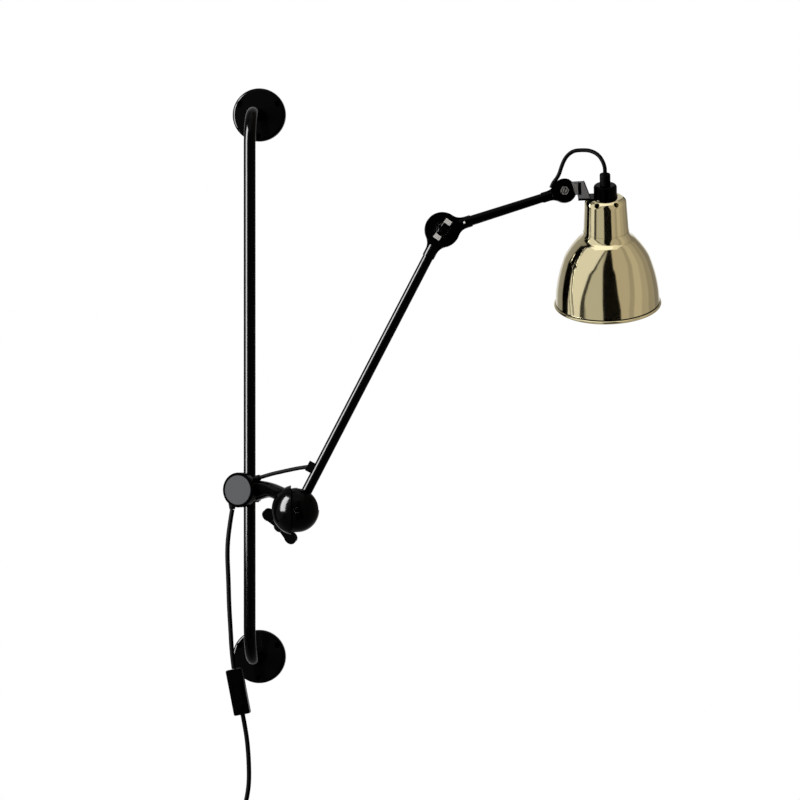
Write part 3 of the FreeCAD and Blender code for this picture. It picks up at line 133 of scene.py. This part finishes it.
def material(name, base, rough, metallic=0.0, specular=0.5, bump=0.0):
    """A principled material, with a fine procedural relief where bump is given."""
    mat = bpy.data.materials.new(name)
    mat.use_nodes = True
    tree = mat.node_tree
    shader = tree.nodes["Principled BSDF"]
    shader.inputs["Base Color"].default_value = (*base, 1)
    shader.inputs["Roughness"].default_value = rough
    shader.inputs["Metallic"].default_value = metallic
    shader.inputs["Specular IOR Level"].default_value = specular
    if bump:
        place = tree.nodes.new("ShaderNodeTexCoord")
        noise = tree.nodes.new("ShaderNodeTexNoise")
        noise.inputs["Scale"].default_value = GRAIN_SCALE
        relief = tree.nodes.new("ShaderNodeBump")
        relief.inputs["Strength"].default_value = bump
        relief.inputs["Distance"].default_value = GRAIN_DEPTH
        tree.links.new(place.outputs["Object"], noise.inputs["Vector"])
        tree.links.new(noise.outputs["Fac"], relief.inputs["Height"])
        tree.links.new(relief.outputs["Normal"], shader.inputs["Normal"])
    return mat


LOOKS = {
    "black_metal": material("black_metal", (0.00004, 0.00004, 0.00004), rough=0.13, specular=0.02),
    "black_plastic": material("black_plastic", (0.00006, 0.00006, 0.00006), rough=0.2, specular=0.015),
    "grey_cap": material("grey_cap", (0.105, 0.108, 0.118), rough=0.25, specular=0.5, bump=0.02),
    "bush_plastic": material("bush_plastic", (0.0002, 0.0002, 0.0002), rough=0.5, specular=0.01),
    "steel": material("steel", (0.78, 0.78, 0.79), rough=0.28, metallic=1.0),
    "grey_steel": material("grey_steel", (0.33, 0.33, 0.345), rough=0.40, metallic=1.0),
    "shade_brass": material("shade_brass", (0.47, 0.415, 0.255), rough=0.10, metallic=1.0),
    "cable_rubber": material(
        "cable_rubber", (0.00008, 0.00008, 0.00008), rough=0.5, specular=0.004, bump=0.1
    ),
    "bulb": material("bulb", (0.9, 0.9, 0.88), rough=0.35, specular=0.4),
    "bulb_cap": material("bulb_cap", (0.7, 0.7, 0.7), rough=0.3, metallic=1.0),
}
slot_of = {row["node"]: row["material_slot"] for row in frame["record"]["subparts"]}


def paint(obj, look):
    """Gives the whole object one look."""
    obj.data.materials.clear()
    obj.data.materials.append(LOOKS[look])


def shade_smooth(obj, angle):
    """Smooth shading, with hard edges where two faces turn by more than angle."""
    for face in obj.data.polygons:
        face.use_smooth = True
    split = obj.modifiers.new("split", "EDGE_SPLIT")
    split.split_angle = math.radians(angle)
    split.use_edge_sharp = False


WELD_DISTANCE = 0.004 * MM
CAD_EDGE_ANGLE = 32.0

for name, obj in nodes.items():
    paint(obj, slot_of[name])
    obj.modifiers.new("weld", "WELD").merge_threshold = WELD_DISTANCE
    shade_smooth(obj, CAD_EDGE_ANGLE)

# ---------------------------------------------------------------- mesh helpers


def add(name, data):
    """A new object in the scene."""
    obj = bpy.data.objects.new(name, data)
    scene.collection.objects.link(obj)
    return obj


def bare_mesh(name, verts, faces):
    """A new mesh object without a material."""
    mesh = bpy.data.meshes.new(name)
    mesh.from_pydata([tuple(v) for v in verts], [], faces)
    return add(name, mesh)


def new_mesh(name, verts, faces, look, body, angle):
    """A piece of the lamp: a painted mesh that rides a body, where one is given."""
    obj = bare_mesh(name, verts, faces)
    shade_smooth(obj, angle)
    paint(obj, look)
    if body:
        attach(obj, body)
    return obj


def axes(z_axis, x_axis):
    """A right-handed frame with this z, and with x as near to x_axis as it can be."""
    z = Vector(z_axis).normalized()
    y = z.cross(Vector(x_axis)).normalized()
    return y.cross(z), y, z


def lathe(name, profile, origin, z_axis, x_axis, look, body, steps, angle=40.0):
    """A closed profile of (radius, height) in mm, turned about z_axis."""
    x, y, z = axes(z_axis, x_axis)
    verts = []
    for i in range(steps):
        turn = 2 * math.pi * i / steps
        out = x * math.cos(turn) + y * math.sin(turn)
        verts += [origin + out * (r * MM) + z * (h * MM) for r, h in profile]
    count = len(profile)
    faces = []
    for i in range(steps):
        a, b = i * count, ((i + 1) % steps) * count
        for k in range(count):
            n = (k + 1) % count
            if profile[k][0] < 1e-6 and profile[n][0] < 1e-6:
                continue
            faces.append((a + k, b + k, b + n, a + n))
    return new_mesh(name, verts, faces, look, body, angle)


def arc_points(start, end, radius, steps):
    """Points on the arc from start to end; a positive radius has its centre on the left of the way."""
    ax, ay = start
    bx, by = end
    mx, my = (ax + bx) / 2, (ay + by) / 2
    dx, dy = bx - ax, by - ay
    chord = math.hypot(dx, dy)
    rise = math.sqrt(max(radius * radius - chord * chord / 4, 0)) * math.copysign(1, radius)
    cx, cy = mx - dy / chord * rise, my + dx / chord * rise
    a0 = math.atan2(ay - cy, ax - cx)
    a1 = math.atan2(by - cy, bx - cx)
    sweep = (a1 - a0 + math.pi) % (2 * math.pi) - math.pi
    turns = [a0 + sweep * t / steps for t in range(1, steps + 1)]
    return [(cx + abs(radius) * math.cos(turn), cy + abs(radius) * math.sin(turn)) for turn in turns]


def smooth_line(points, per_span=12):
    """A Catmull-Rom line through points."""
    pts = [2 * points[0] - points[1]] + list(points) + [2 * points[-1] - points[-2]]
    line = []
    for p0, p1, p2, p3 in zip(pts, pts[1:], pts[2:], pts[3:]):
        for i in range(per_span):
            t = i / per_span
            line.append(
                0.5 * (
                    2 * p1 + (p2 - p0) * t + (2 * p0 - 5 * p1 + 4 * p2 - p3) * t * t
                    + (3 * p1 - p0 - 3 * p2 + p3) * t ** 3
                )
            )
    line.append(Vector(points[-1]))
    return line


def tube(name, line, radius, look, body, sides=16):
    """A round tube along a line of points, closed at both ends."""
    verts, faces = [], []
    side = None
    for i, p in enumerate(line):
        along = (line[min(i + 1, len(line) - 1)] - line[max(i - 1, 0)]).normalized()
        if side is None:
            side = along.orthogonal().normalized()
        side = (side - along * side.dot(along)).normalized()
        other = along.cross(side)
        for k in range(sides):
            turn = 2 * math.pi * k / sides
            verts.append(p + side * (radius * math.cos(turn)) + other * (radius * math.sin(turn)))
    for i in range(len(line) - 1):
        for k in range(sides):
            n = (k + 1) % sides
            faces.append((i * sides + k, i * sides + n, (i + 1) * sides + n, (i + 1) * sides + k))
    last = (len(line) - 1) * sides
    faces.append(tuple(range(sides))[::-1])
    faces.append(tuple(last + k for k in range(sides)))
    return new_mesh(name, verts, faces, look, body, angle=50.0)


# ---------------------------------------------------------------- shade

BELL_SIDE, BELL_MIDDLE, BELL_FLARE, BELL_NECK = (57.9, 14.0), (47.5, 56.5), (31.5, 78.5), (25.8, 88.0)
RIM_RADIUS, BEAD_RADIUS = 58.6, 1.85
BELL_STEPS, BELL_EDGE_ANGLE = 160, 50.0

outside = [BELL_SIDE]
outside += arc_points(BELL_SIDE, BELL_MIDDLE, radius=160.0, steps=14)
outside += arc_points(BELL_MIDDLE, BELL_FLARE, radius=100.0, steps=10)
outside += arc_points(BELL_FLARE, BELL_NECK, radius=-10.0, steps=10)
inside = [(r - 1.0, h - 0.3) for r, h in outside[-2:0:-1]]
bead_turns = np.linspace(math.pi * 1.02, math.pi * 2.48, 16)
bead = [(RIM_RADIUS + BEAD_RADIUS * math.cos(a), BEAD_RADIUS * math.sin(a)) for a in bead_turns]
bell_profile = [(57.2, 1.6)] + bead + outside + [(BELL_NECK[0] - 0.9, BELL_NECK[1])] + inside
# The profile of a black band in the crease above the rolled bead: painted shade.
rim_painted_shade_profile = [(57.9, 1.75), (59.0, 1.75), (58.95, 2.9), (57.9, 2.9)]


def shade_ring(name, profile, look):
    """A ring of the shade: a profile turned about the shade's own axis."""
    return lathe(
        name, profile, SHADE_BASE, SHADE_UP, FORK, look, "shade_carrier",
        steps=BELL_STEPS, angle=BELL_EDGE_ANGLE,
    )


bell = shade_ring("bell", bell_profile, "shade_brass")
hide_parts("shade_bell")
# The black ring above the rim's bead is painted shade in its crease.
shade_ring("rim_painted_shade_band", rim_painted_shade_profile, "black_metal")

# ---------------------------------------------------------------- elbow: wing nut, washer, bolt end


def block(corner_low, corner_high, origin, x, y, z):
    """Corners and faces of a box given in mm in the frame x, y, z."""
    xs, ys, zs = zip(corner_low, corner_high)
    verts = [origin + (x * a + y * b + z * c) * MM for a in xs for b in ys for c in zs]
    faces = [(0, 1, 3, 2), (4, 6, 7, 5), (0, 4, 5, 1), (2, 3, 7, 6), (0, 2, 6, 4), (1, 5, 7, 3)]
    return verts, faces


def bar(start, end, radius, origin, x, y, z, sides=12):
    """A round bar between two points in mm in the frame x, y, z; it lies along y."""
    verts = []
    for at in (start, end):
        for k in range(sides):
            turn = 2 * math.pi * k / sides
            a, c = at[0] + radius * math.cos(turn), at[2] + radius * math.sin(turn)
            verts.append(origin + (x * a + y * at[1] + z * c) * MM)
    faces = [(k, (k + 1) % sides, sides + (k + 1) % sides, sides + k) for k in range(sides)]
    faces += [tuple(range(sides))[::-1], tuple(sides + k for k in range(sides))]
    return verts, faces


def joined(name, pieces, look, body):
    """One mesh of several closed pieces."""
    verts, faces = [], []
    for piece_verts, piece_faces in pieces:
        base = len(verts)
        verts += piece_verts
        faces += [tuple(base + i for i in face) for face in piece_faces]
    return new_mesh(name, verts, faces, look, body, angle=35.0)


WING = in_plane(54)
WING_SIDE = ARM_FRONT.cross(WING)
NUT_FOOT = ELBOW + ARM_FRONT * (15.8 * MM)
NUT_FRAME = (NUT_FOOT, WING, WING_SIDE, ARM_FRONT)
EAR_INNER, EAR_OUTER, EAR_HALF, EAR_FOOT, EAR_TOP = 7.4, 12.8, 3.9, 4.6, 11.4
RIB_PLACES, RIB_RADIUS = (8.3, 10.1, 11.9), 0.75

ears, webs = [], []
for side in (1, -1):
    ear_low, ear_high = (side * EAR_INNER, -EAR_HALF, EAR_FOOT), (side * EAR_OUTER, EAR_HALF, EAR_TOP)
    ears.append(block(ear_low, ear_high, *NUT_FRAME))
    for radial in RIB_PLACES:
        rib_start, rib_end = (side * radial, -EAR_HALF, EAR_TOP), (side * radial, EAR_HALF, EAR_TOP)
        ears.append(bar(rib_start, rib_end, RIB_RADIUS, *NUT_FRAME))
    webs.append(block((side * 4.6, -3.0, 1.0), (side * 7.6, 3.0, 9.0), *NUT_FRAME))
# A steel strip along the hub's upper left edge stands for the painted highlight line on the chrome hub.
ears.append(block((-7.6, 2.9, 6.2), (7.6, EAR_HALF, 8.0), *NUT_FRAME))
wing_ears = joined("wing_nut_ears", ears, "steel", "elbow_nut")
# The chrome hub and its webs are painted black: a painted dark reflection.
hub = [(4.2, 0.0), (6.6, 0.0), (6.4, 3.0), (5.6, 6.6), (5.2, 7.0), (4.2, 7.0)]
lathe("wing_nut_hub_painted_dark", hub, NUT_FOOT, ARM_FRONT, WING, "black_metal", "elbow_nut", steps=48)
joined("wing_nut_webs_painted_dark", webs, "black_metal", "elbow_nut")
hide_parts("elbow_wing_nut")
# A black cover on the steel washer paints its dark reflection.
cover = [(6.7, 14.52), (9.15, 14.52), (9.15, 15.62), (8.9, 15.74), (6.7, 15.74)]
lathe("nut_washer_painted_dark", cover, ELBOW, ARM_FRONT, UP, "black_metal", "forearm", steps=64)
lathe(
    "bolt_end_cap", [(0, 26.9), (4.1, 26.9), (4.1, 27.3), (3.2, 27.7), (0, 27.8)],
    ELBOW, ARM_FRONT, UP, "black_metal", "lower_arm", steps=48,
)
lathe(
    "neck_screw", [(0, 14.0), (1.2, 14.0), (1.2, 16.8), (0.8, 17.1), (0, 17.2)],
    ELBOW + FORE * (25.7 * MM), ARM_FRONT, UP, "steel", "forearm", steps=20,
)

# ---------------------------------------------------------------- head: nut details and stirrup

nut_ring = [(2.6, 7.0), (3.4, 7.0), (3.4, 7.25), (2.6, 7.25)]
lathe("head_nut_ring", nut_ring, FORK_CENTRE, ARM_FRONT, UP, "black_metal", "forearm", steps=40)
SLOT_ANGLE = 70
slot_frame = (FORK_CENTRE, in_plane(SLOT_ANGLE), in_plane(SLOT_ANGLE + 90), ARM_FRONT)
# A black bar on the bolt's end paints the shade in its slot.
joined("head_bolt_slot_painted_shade", [block((-2.5, -0.45, 8.0), (2.5, 0.45, 8.3), *slot_frame)], "black_metal", "forearm")

CHEEK_CORNER = SWIVEL - FORK * (7.0 * MM) - SHADE_UP * (8.0 * MM)
CHEEK_FACE = 8.5


def on_cheek(out, up, level):
    """A place on the stirrup's front cheek, in mm from its lower left corner and the stirrup's middle."""
    return CHEEK_CORNER + (FORK * out + SHADE_UP * up + SHADE_FRONT * level) * MM


def cheek_plate(name, outline, low, high, look):
    """A flat plate on the stirrup's front cheek."""
    verts = [on_cheek(out, up, level) for level in (low, high) for out, up in outline]
    count = len(outline)
    faces = [tuple(range(count))[::-1], tuple(count + i for i in range(count))]
    faces += [(i, (i + 1) % count, count + (i + 1) % count, count + i) for i in range(count)]
    return new_mesh(name, verts, faces, look, "shade_carrier", angle=20.0)


cheek_plate("cheek_wedge", [(0.5, 20.8), (4.2, 7.6), (6.9, 6.3), (7.0, 20.9)], 8.45, 8.75, "steel")
# A black strip between the wedge and the cheek is the painted shadow in their gap.
cheek_plate("cheek_gap_painted_shadow", [(7.2, 5.9), (10.9, 5.2), (10.7, 19.6), (7.3, 20.6)], 6.9, 8.7, "black_metal")
# Black bands along the cheek's bottom and slanted edges are a painted dark reflection of the plate's edges.
cheek_plate("cheek_foot_dark_reflection", [(7.2, -0.4), (21.2, -0.4), (20.8, 0.9), (7.2, 0.9)], 8.45, 8.8, "black_metal")
cheek_plate("cheek_edge_dark_reflection", [(20.3, 0.9), (21.0, 0.9), (14.0, 22.2), (13.3, 22.2)], 8.45, 8.75, "black_metal")

# The stirrup's back plate is cut level with its front cheek, as it looks in the photo.
CUT_SLOPE = -0.04
trim = bmesh.new()
trim.from_mesh(nodes["stirrup"].data)
trim.transform(nodes["stirrup"].matrix_world)
cut = bmesh.ops.bisect_plane(
    trim, geom=trim.verts[:] + trim.edges[:] + trim.faces[:], dist=1e-7,
    plane_co=on_cheek(7.0, 21.9, CHEEK_FACE), plane_no=UP + FORK * CUT_SLOPE, clear_outer=True,
)
cut_edges = [edge for edge in cut["geom_cut"] if isinstance(edge, bmesh.types.BMEdge)]
bmesh.ops.triangle_fill(trim, edges=cut_edges, use_beauty=True)
trim.verts.index_update()
trim_verts = [v.co.copy() for v in trim.verts]
trim_faces = [tuple(v.index for v in face.verts) for face in trim.faces]
trim.free()
stirrup_look = new_mesh(
    "stirrup_trimmed", trim_verts, trim_faces, "grey_steel", "shade_carrier", angle=30.0
)
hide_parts("stirrup")

# ---------------------------------------------------------------- plugs over the ball's cross pin

plug_profile = [(0, 24.45), (2.9, 24.45), (2.9, 24.8), (1.5, 24.93), (0, 24.97)]
for side in (1, -1):
    lathe(f"pin_plug_{side + 1}", plug_profile, BALL, ARM_FRONT * side, UP, "black_metal", "ball", steps=32)

# ---------------------------------------------------------------- screws in the wall discs

RAIL_LENGTH = 620.0
SCREW_CIRCLE, SCREW_SEAT = 25.0, -2.5
screw_profile = [(0, 0.2), (1.6, 0.2), (2.4, 2.0), (2.1, 2.3), (0, 2.5)]
for disc, height in (("upper", RAIL_LENGTH), ("lower", 0.0)):
    for i, degrees in enumerate((150.0, 30.0, -90.0)):
        angle = math.radians(degrees)
        seat = mm(SCREW_CIRCLE * math.cos(angle), SCREW_SEAT, height + SCREW_CIRCLE * math.sin(angle))
        screw = f"{disc}_disc_screw_{i}"
        lathe(screw, screw_profile, seat, (0, -1, 0), (1, 0, 0), "black_metal", "wall_frame", steps=24)

# ---------------------------------------------------------------- cables over the joints

CABLE_RADIUS = 2.25 * MM

jumper_top = SLIDER + mm(13.6, -16.1, 14.0)
jumper_axis = Vector((0.82, -0.53, 0.18)).normalized()
grommet_end = BALL + (LOWER * 49.6 + in_plane(LOWER_ANGLE + 90) * 9.6) * MM
arm_start = jumper_top + jumper_axis * (0.3 * MM)


def arm_way(share, rise):
    """A point of the arm's cable: a share of its straight way, lifted by rise."""
    return arm_start + (grommet_end - arm_start) * share + UP * (rise * MM)


arm_split = arm_way(0.5, 1.2)
rear = smooth_line([arm_start, arm_way(0.24, 1.0), arm_split])
front = smooth_line([arm_split, arm_way(0.76, 1.0), grommet_end])
arm_rear = tube("arm_cable_rear_look", rear, CABLE_RADIUS, "cable_rubber", None)
arm_front = tube("arm_cable_front_look", front, CABLE_RADIUS, "cable_rubber", None)
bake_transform(arm_rear)
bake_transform(arm_front)
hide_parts("arm_cable_rear")
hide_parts("arm_cable_front")


def at_head(side, up, front_step):
    """A point of the head's cable, in mm from the head's centre."""
    return HEAD + (ARM_SIDE * side + UP * up + ARM_FRONT * front_step) * MM


outlet_axis = in_plane(FORE_ANGLE + 56)
outlet = HEAD + (FORE * -14.6 + in_plane(FORE_ANGLE + 90) * 5.0) * MM
gland_point = SHADE_BASE + SHADE_UP * GLAND_TOP
loop_split = at_head(20.25, 45.2, 7.5)
whole = smooth_line(
    [
        outlet + outlet_axis * (3.2 * MM), at_head(-12.3, 9.0, 0.0),
        at_head(-8.4, 13.9, 0.2), at_head(-5.6, 19.0, 0.5), at_head(-3.4, 26.0, 0.9),
        at_head(0.0, 34.6, 1.5), at_head(4.4, 40.4, 2.4), at_head(11.0, 44.8, 4.0), loop_split,
        at_head(28.5, 44.6, 10.9), at_head(38.6, 39.0, 16.5),
        gland_point + SHADE_UP * (9.0 * MM), gland_point,
    ],
    per_span=10,
)
EASING_ROUNDS = 30
for _ in range(EASING_ROUNDS):
    whole[2:-2] = [(whole[i - 1] + whole[i] * 2 + whole[i + 1]) / 4 for i in range(2, len(whole) - 2)]
cut_at = min(range(len(whole)), key=lambda i: (whole[i] - loop_split).length)
head_rear = tube("head_cable_rear_look", whole[: cut_at + 1], CABLE_RADIUS, "cable_rubber", None)
head_front = tube("head_cable_front_look", whole[cut_at:], CABLE_RADIUS, "cable_rubber", None)
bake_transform(head_rear)
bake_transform(head_front)
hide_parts("head_cable_rear")
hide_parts("head_cable_front")

# ---------------------------------------------------------------- mains lead

MAINS_DIAMETER = 5.2 * MM


def lead(name, points):
    """A free cord's own centreline as a round NURBS curve."""
    curve = bpy.data.curves.new(name, "CURVE")
    curve.dimensions = "3D"
    curve.bevel_depth = MAINS_DIAMETER / 2
    curve.bevel_resolution = 5
    curve.use_fill_caps = True
    spline = curve.splines.new("NURBS")
    spline.points.add(len(points) - 1)
    for i, p in enumerate(points):
        spline.points[i].co = (*p, 1)
    spline.order_u = 3
    spline.use_endpoint_u = True
    spline.resolution_u = 5
    obj = add(name, curve)
    curve.materials.append(LOOKS["cable_rubber"])
    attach(obj, "bracket")
    return obj


SLANT = math.radians(11.0)
SWITCH_UP = Vector((-math.sin(SLANT), 0, math.cos(SLANT)))
SWITCH = mm(-10.6, -119.0, -34.5)
SWITCH_EXIT, SWITCH_FOOT = 26.2 * MM, 26.1 * MM
gland_low, gland_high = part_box("mains_gland")
gland_exit = Vector(((gland_low.x + gland_high.x) / 2, (gland_low.y + gland_high.y) / 2, gland_low.z))
upper_points = [
    gland_exit - UP * (0.3 * MM),
    mm(-22.4, -107.0, 150.0),
    mm(-24.4, -110.5, 124.0),
    mm(-22.6, -112.5, 92.0),
    mm(-21.6, -114.5, 62.0),
    mm(-19.6, -116.5, 34.0),
    mm(-18.2, -118.0, 10.0),
    SWITCH + SWITCH_UP * SWITCH_EXIT,
]
upper = lead("mains_lead_upper", upper_points)
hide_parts("mains_cord_upper")

COIL = mm(8.0, -119.0, -212.0)
TURNS = 7
RING_RADIUS = 29.0
TURN_STEP = 5.4
place_angles = np.radians([180, 240, 300, 0, 60, 120])
PLACES = [(TURN_STEP * math.cos(a), TURN_STEP * math.sin(a)) for a in place_angles] + [(0.0, 0.0)]
CHANGE_SHARE = 0.20
COIL_START, COIL_EXTRA = math.radians(150), math.radians(30)
TURN_POINTS = 24


def coil_points():
    """Seven turns side by side in one bundle; each moves to the next place over the last fifth of its way."""
    total = 2 * math.pi * TURNS + COIL_EXTRA
    steps = TURN_POINTS * TURNS + 2
    points = []
    for i in range(steps + 1):
        angle = total * i / steps
        turn = int(angle // (2 * math.pi) + 1e-9)
        part = angle / (2 * math.pi) - turn
        here = PLACES[min(turn, TURNS - 1)]
        after = PLACES[min(turn + 1, TURNS - 1)]
        share = min(max((part - (1 - CHANGE_SHARE)) / CHANGE_SHARE, 0), 1)
        share = share * share * (3 - 2 * share)
        out = (here[0] * (1 - share) + after[0] * share) + RING_RADIUS
        deep = here[1] * (1 - share) + after[1] * share
        way = COIL_START + angle
        points.append(COIL + mm(math.cos(way) * out, -deep, math.sin(way) * out))
    return points


lower_points = [
    SWITCH - SWITCH_UP * SWITCH_FOOT,
    SWITCH - SWITCH_UP * (SWITCH_FOOT + 11.0 * MM),
    mm(-0.4, -119.0, -90.0),
    mm(1.4, -119.0, -114.0),
    mm(1.6, -119.0, -140.0),
    mm(-3.0, -119.0, -164.0),
    mm(-9.6, -119.0, -180.0),
]
tail_end = mm(-20.6, -119.0, -258.0)
lower_points += coil_points() + [mm(-21.0, -119.0, -226.0), mm(-20.6, -119.0, -240.0), tail_end]
lower = lead("mains_lead_lower", lower_points)
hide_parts("mains_cord_lower", "mains_cord_coil", "mains_cord_tail")

# ---------------------------------------------------------------- studio

floor_look = material("floor", (0.86, 0.86, 0.86), rough=0.8)
FLOOR_CENTRE = Vector((0.16, 0.1, cad_low.z - 2.0 * MM))
FLOOR_HALF_X, FLOOR_HALF_Y = 0.9, 0.65
corners = [(-1, -1), (1, -1), (1, 1), (-1, 1)]
floor_verts = [FLOOR_CENTRE + Vector((a * FLOOR_HALF_X, b * FLOOR_HALF_Y, 0)) for a, b in corners]
floor = bare_mesh("floor", floor_verts, [(0, 1, 2, 3)])
floor.data.materials.append(floor_look)

CENTRE = Vector((0.2, -0.1, 0.3))
HEART = SHADE_BASE + SHADE_UP * (50.0 * MM)
VIEW_TURN = 5.1


def around(centre, azimuth, distance, height):
    """A place round centre: azimuth from the camera's side, positive to its right."""
    angle = math.radians(azimuth + VIEW_TURN)
    return centre + Vector((math.sin(angle) * distance, -math.cos(angle) * distance, height))


def glow(name, rgb, strength):
    """A reflector's look: a plain even glow."""
    mat = bpy.data.materials.new(name)
    mat.use_nodes = True
    tree = mat.node_tree
    tree.nodes.clear()
    out = tree.nodes.new("ShaderNodeOutputMaterial")
    emit = tree.nodes.new("ShaderNodeEmission")
    emit.inputs["Color"].default_value = (*rgb, 1)
    emit.inputs["Strength"].default_value = strength
    tree.links.new(emit.outputs[0], out.inputs["Surface"])
    return mat


PANEL_STEPS = 12


def panel(name, edges, distance, rgb, strength):
    """A studio panel round the shade, seen in reflections alone.

    Edges lists (angle above the shade's middle, first azimuth, last azimuth) from the bottom up.
    """
    verts, faces = [], []
    for rise, first, last in edges:
        height = distance * math.tan(math.radians(rise))
        for i in range(PANEL_STEPS + 1):
            azimuth = first + (last - first) * i / PANEL_STEPS
            verts.append(around(HEART, azimuth, distance, height))
    for k in range(len(edges) - 1):
        a, b = k * (PANEL_STEPS + 1), (k + 1) * (PANEL_STEPS + 1)
        for i in range(PANEL_STEPS):
            faces.append((a + i, a + i + 1, b + i + 1, b + i))
    obj = bare_mesh(name, verts, faces)
    obj.data.materials.append(glow(name, rgb, strength))
    obj.visible_camera = False
    obj.visible_diffuse = False
    obj.visible_shadow = False


BLACK = (0.0, 0.0, 0.0)
WHITE = (1.0, 1.0, 1.0)
PALE = (1.0, 0.98, 0.93)
WARM = (1.0, 0.92, 0.80)
RING_LOW, RING_HIGH, RING_DISTANCE = -62, 75, 2.6
wall_of_light = (
    ("panel_back_left", -150.0, -118.0, PALE, 0.55),
    ("panel_far_left", -118.0, -96.0, PALE, 0.45),
    ("panel_left", -96.0, -58.0, PALE, 0.45),
    ("panel_inner_left", -58.0, -14.0, PALE, 0.92),
    ("panel_inner_edge", -14.0, -4.0, PALE, 0.75),
    ("panel_inner_right", -4.0, 52.0, WARM, 0.86),
    ("panel_seam", 52.0, 64.0, WARM, 0.66),
    ("panel_right", 64.0, 84.0, WARM, 0.95),
    ("panel_outer_right", 84.0, 104.0, WARM, 0.76),
    ("panel_far_right", 104.0, 128.0, WARM, 0.57),
    ("panel_back_right", 128.0, 155.0, WARM, 0.38),
)
for name, first, last, rgb, strength in wall_of_light:
    panel(name, [(rise, first, last) for rise in (RING_LOW, 0, RING_HIGH)], RING_DISTANCE, rgb, strength)
panel(
    "flag_high_left",
    [
        (-62, -134, -108), (-28, -128, -108), (-18, -126, -106),
        (18, -122, -88), (50, -92, -70), (70, -80, -60),
    ],
    distance=2.5, rgb=BLACK, strength=0.0,
)
panel(
    "box_left",
    [(-30, -110, -74), (-18, -107, -65), (0, -98, -43), (18, -90, -32), (50, -72, 20), (70, -60, 34)],
    distance=2.4, rgb=WHITE, strength=1.42,
)
panel(
    "flag_edge",
    [(-52, -90, -74), (-30, -77, -63), (-18, -67, -56), (0, -45, -36), (18, -33, -27), (50, 18, 23)],
    distance=2.35, rgb=PALE, strength=0.07,
)
panel(
    "flag_centre",
    [(-62, -12, 46), (-47, -13, 40), (-30, -14, 31), (-18, -13, 23), (18, -12, 13), (44, 3, 13)],
    distance=2.3, rgb=BLACK, strength=0.0,
)

# The strip light reaches the black metal and the cables alone.
dark_pieces = bpy.data.collections.new("dark_pieces")
scene.collection.children.link(dark_pieces)
for obj in list(scene.objects):
    used = [mat.name for mat in getattr(obj.data, "materials", []) if mat]
    if any(look.startswith(("black_metal", "cable_")) for look in used):
        dark_pieces.objects.link(obj)


def softbox(name, centre, azimuth, distance, level, size, watts):
    """A rectangular light of size (width, height) that faces a place above centre at half its own level."""
    light = bpy.data.lights.new(name, "AREA")
    light.shape = "RECTANGLE"
    light.size, light.size_y = size
    light.energy = watts
    obj = add(name, light)
    obj.location = around(centre, azimuth, distance, level)
    aim = centre + Vector((0, 0, level * 0.5)) - obj.location
    obj.rotation_euler = aim.to_track_quat("-Z", "Y").to_euler()
    return obj


RAIL_FOOT = Vector((0.0, -0.1, 0.0))
strip = softbox(
    "strip_left", RAIL_FOOT, azimuth=-64.0, distance=1.5, level=0.9, size=(0.75, 1.8), watts=1400
)
strip.light_linking.receiver_collection = dark_pieces
# Without bounces the brass doesn't mirror the strip's streaks on the black tubes.
strip.data.cycles.max_bounces = 0
softbox("box_top", CENTRE, azimuth=0.0, distance=0.4, level=2.2, size=(2.4, 2.4), watts=14)


def studio_world(seen_strength, light_strength):
    """White to the camera and in reflections, and dimmer as a light."""
    world = bpy.data.worlds.new("studio")
    world.use_nodes = True
    tree = world.node_tree
    tree.nodes.clear()
    path = tree.nodes.new("ShaderNodeLightPath")
    seen_by = path.outputs["Is Camera Ray"]
    for ray in ("Is Glossy Ray", "Is Transmission Ray"):
        either = tree.nodes.new("ShaderNodeMath")
        either.operation = "MAXIMUM"
        tree.links.new(seen_by, either.inputs[0])
        tree.links.new(path.outputs[ray], either.inputs[1])
        seen_by = either.outputs[0]
    mix = tree.nodes.new("ShaderNodeMixShader")
    tree.links.new(seen_by, mix.inputs["Fac"])
    for slot, strength in ((1, light_strength), (2, seen_strength)):
        background = tree.nodes.new("ShaderNodeBackground")
        background.inputs["Color"].default_value = (1, 1, 1, 1)
        background.inputs["Strength"].default_value = strength
        tree.links.new(background.outputs[0], mix.inputs[slot])
    out = tree.nodes.new("ShaderNodeOutputWorld")
    tree.links.new(mix.outputs[0], out.inputs["Surface"])
    return world


scene.world = studio_world(seen_strength=1.0, light_strength=0.55)

# ---------------------------------------------------------------- camera

PICTURE_WIDTH, FOCAL_PIXELS, SENSOR_WIDTH = 800, 5676.9, 36.0
camera_data = bpy.data.cameras.new("camera")
camera_data.sensor_width = SENSOR_WIDTH
camera_data.lens = FOCAL_PIXELS / PICTURE_WIDTH * SENSOR_WIDTH
camera_data.clip_end = 30
camera = add("camera", camera_data)
camera.location = (0.73828, -6.46395, 0.29369)
turn = math.radians(VIEW_TURN)
camera.rotation_euler = Vector((-math.sin(turn), math.cos(turn), 0)).to_track_quat("-Z", "Y").to_euler()
scene.camera = camera
scene.view_settings.view_transform = "Standard"
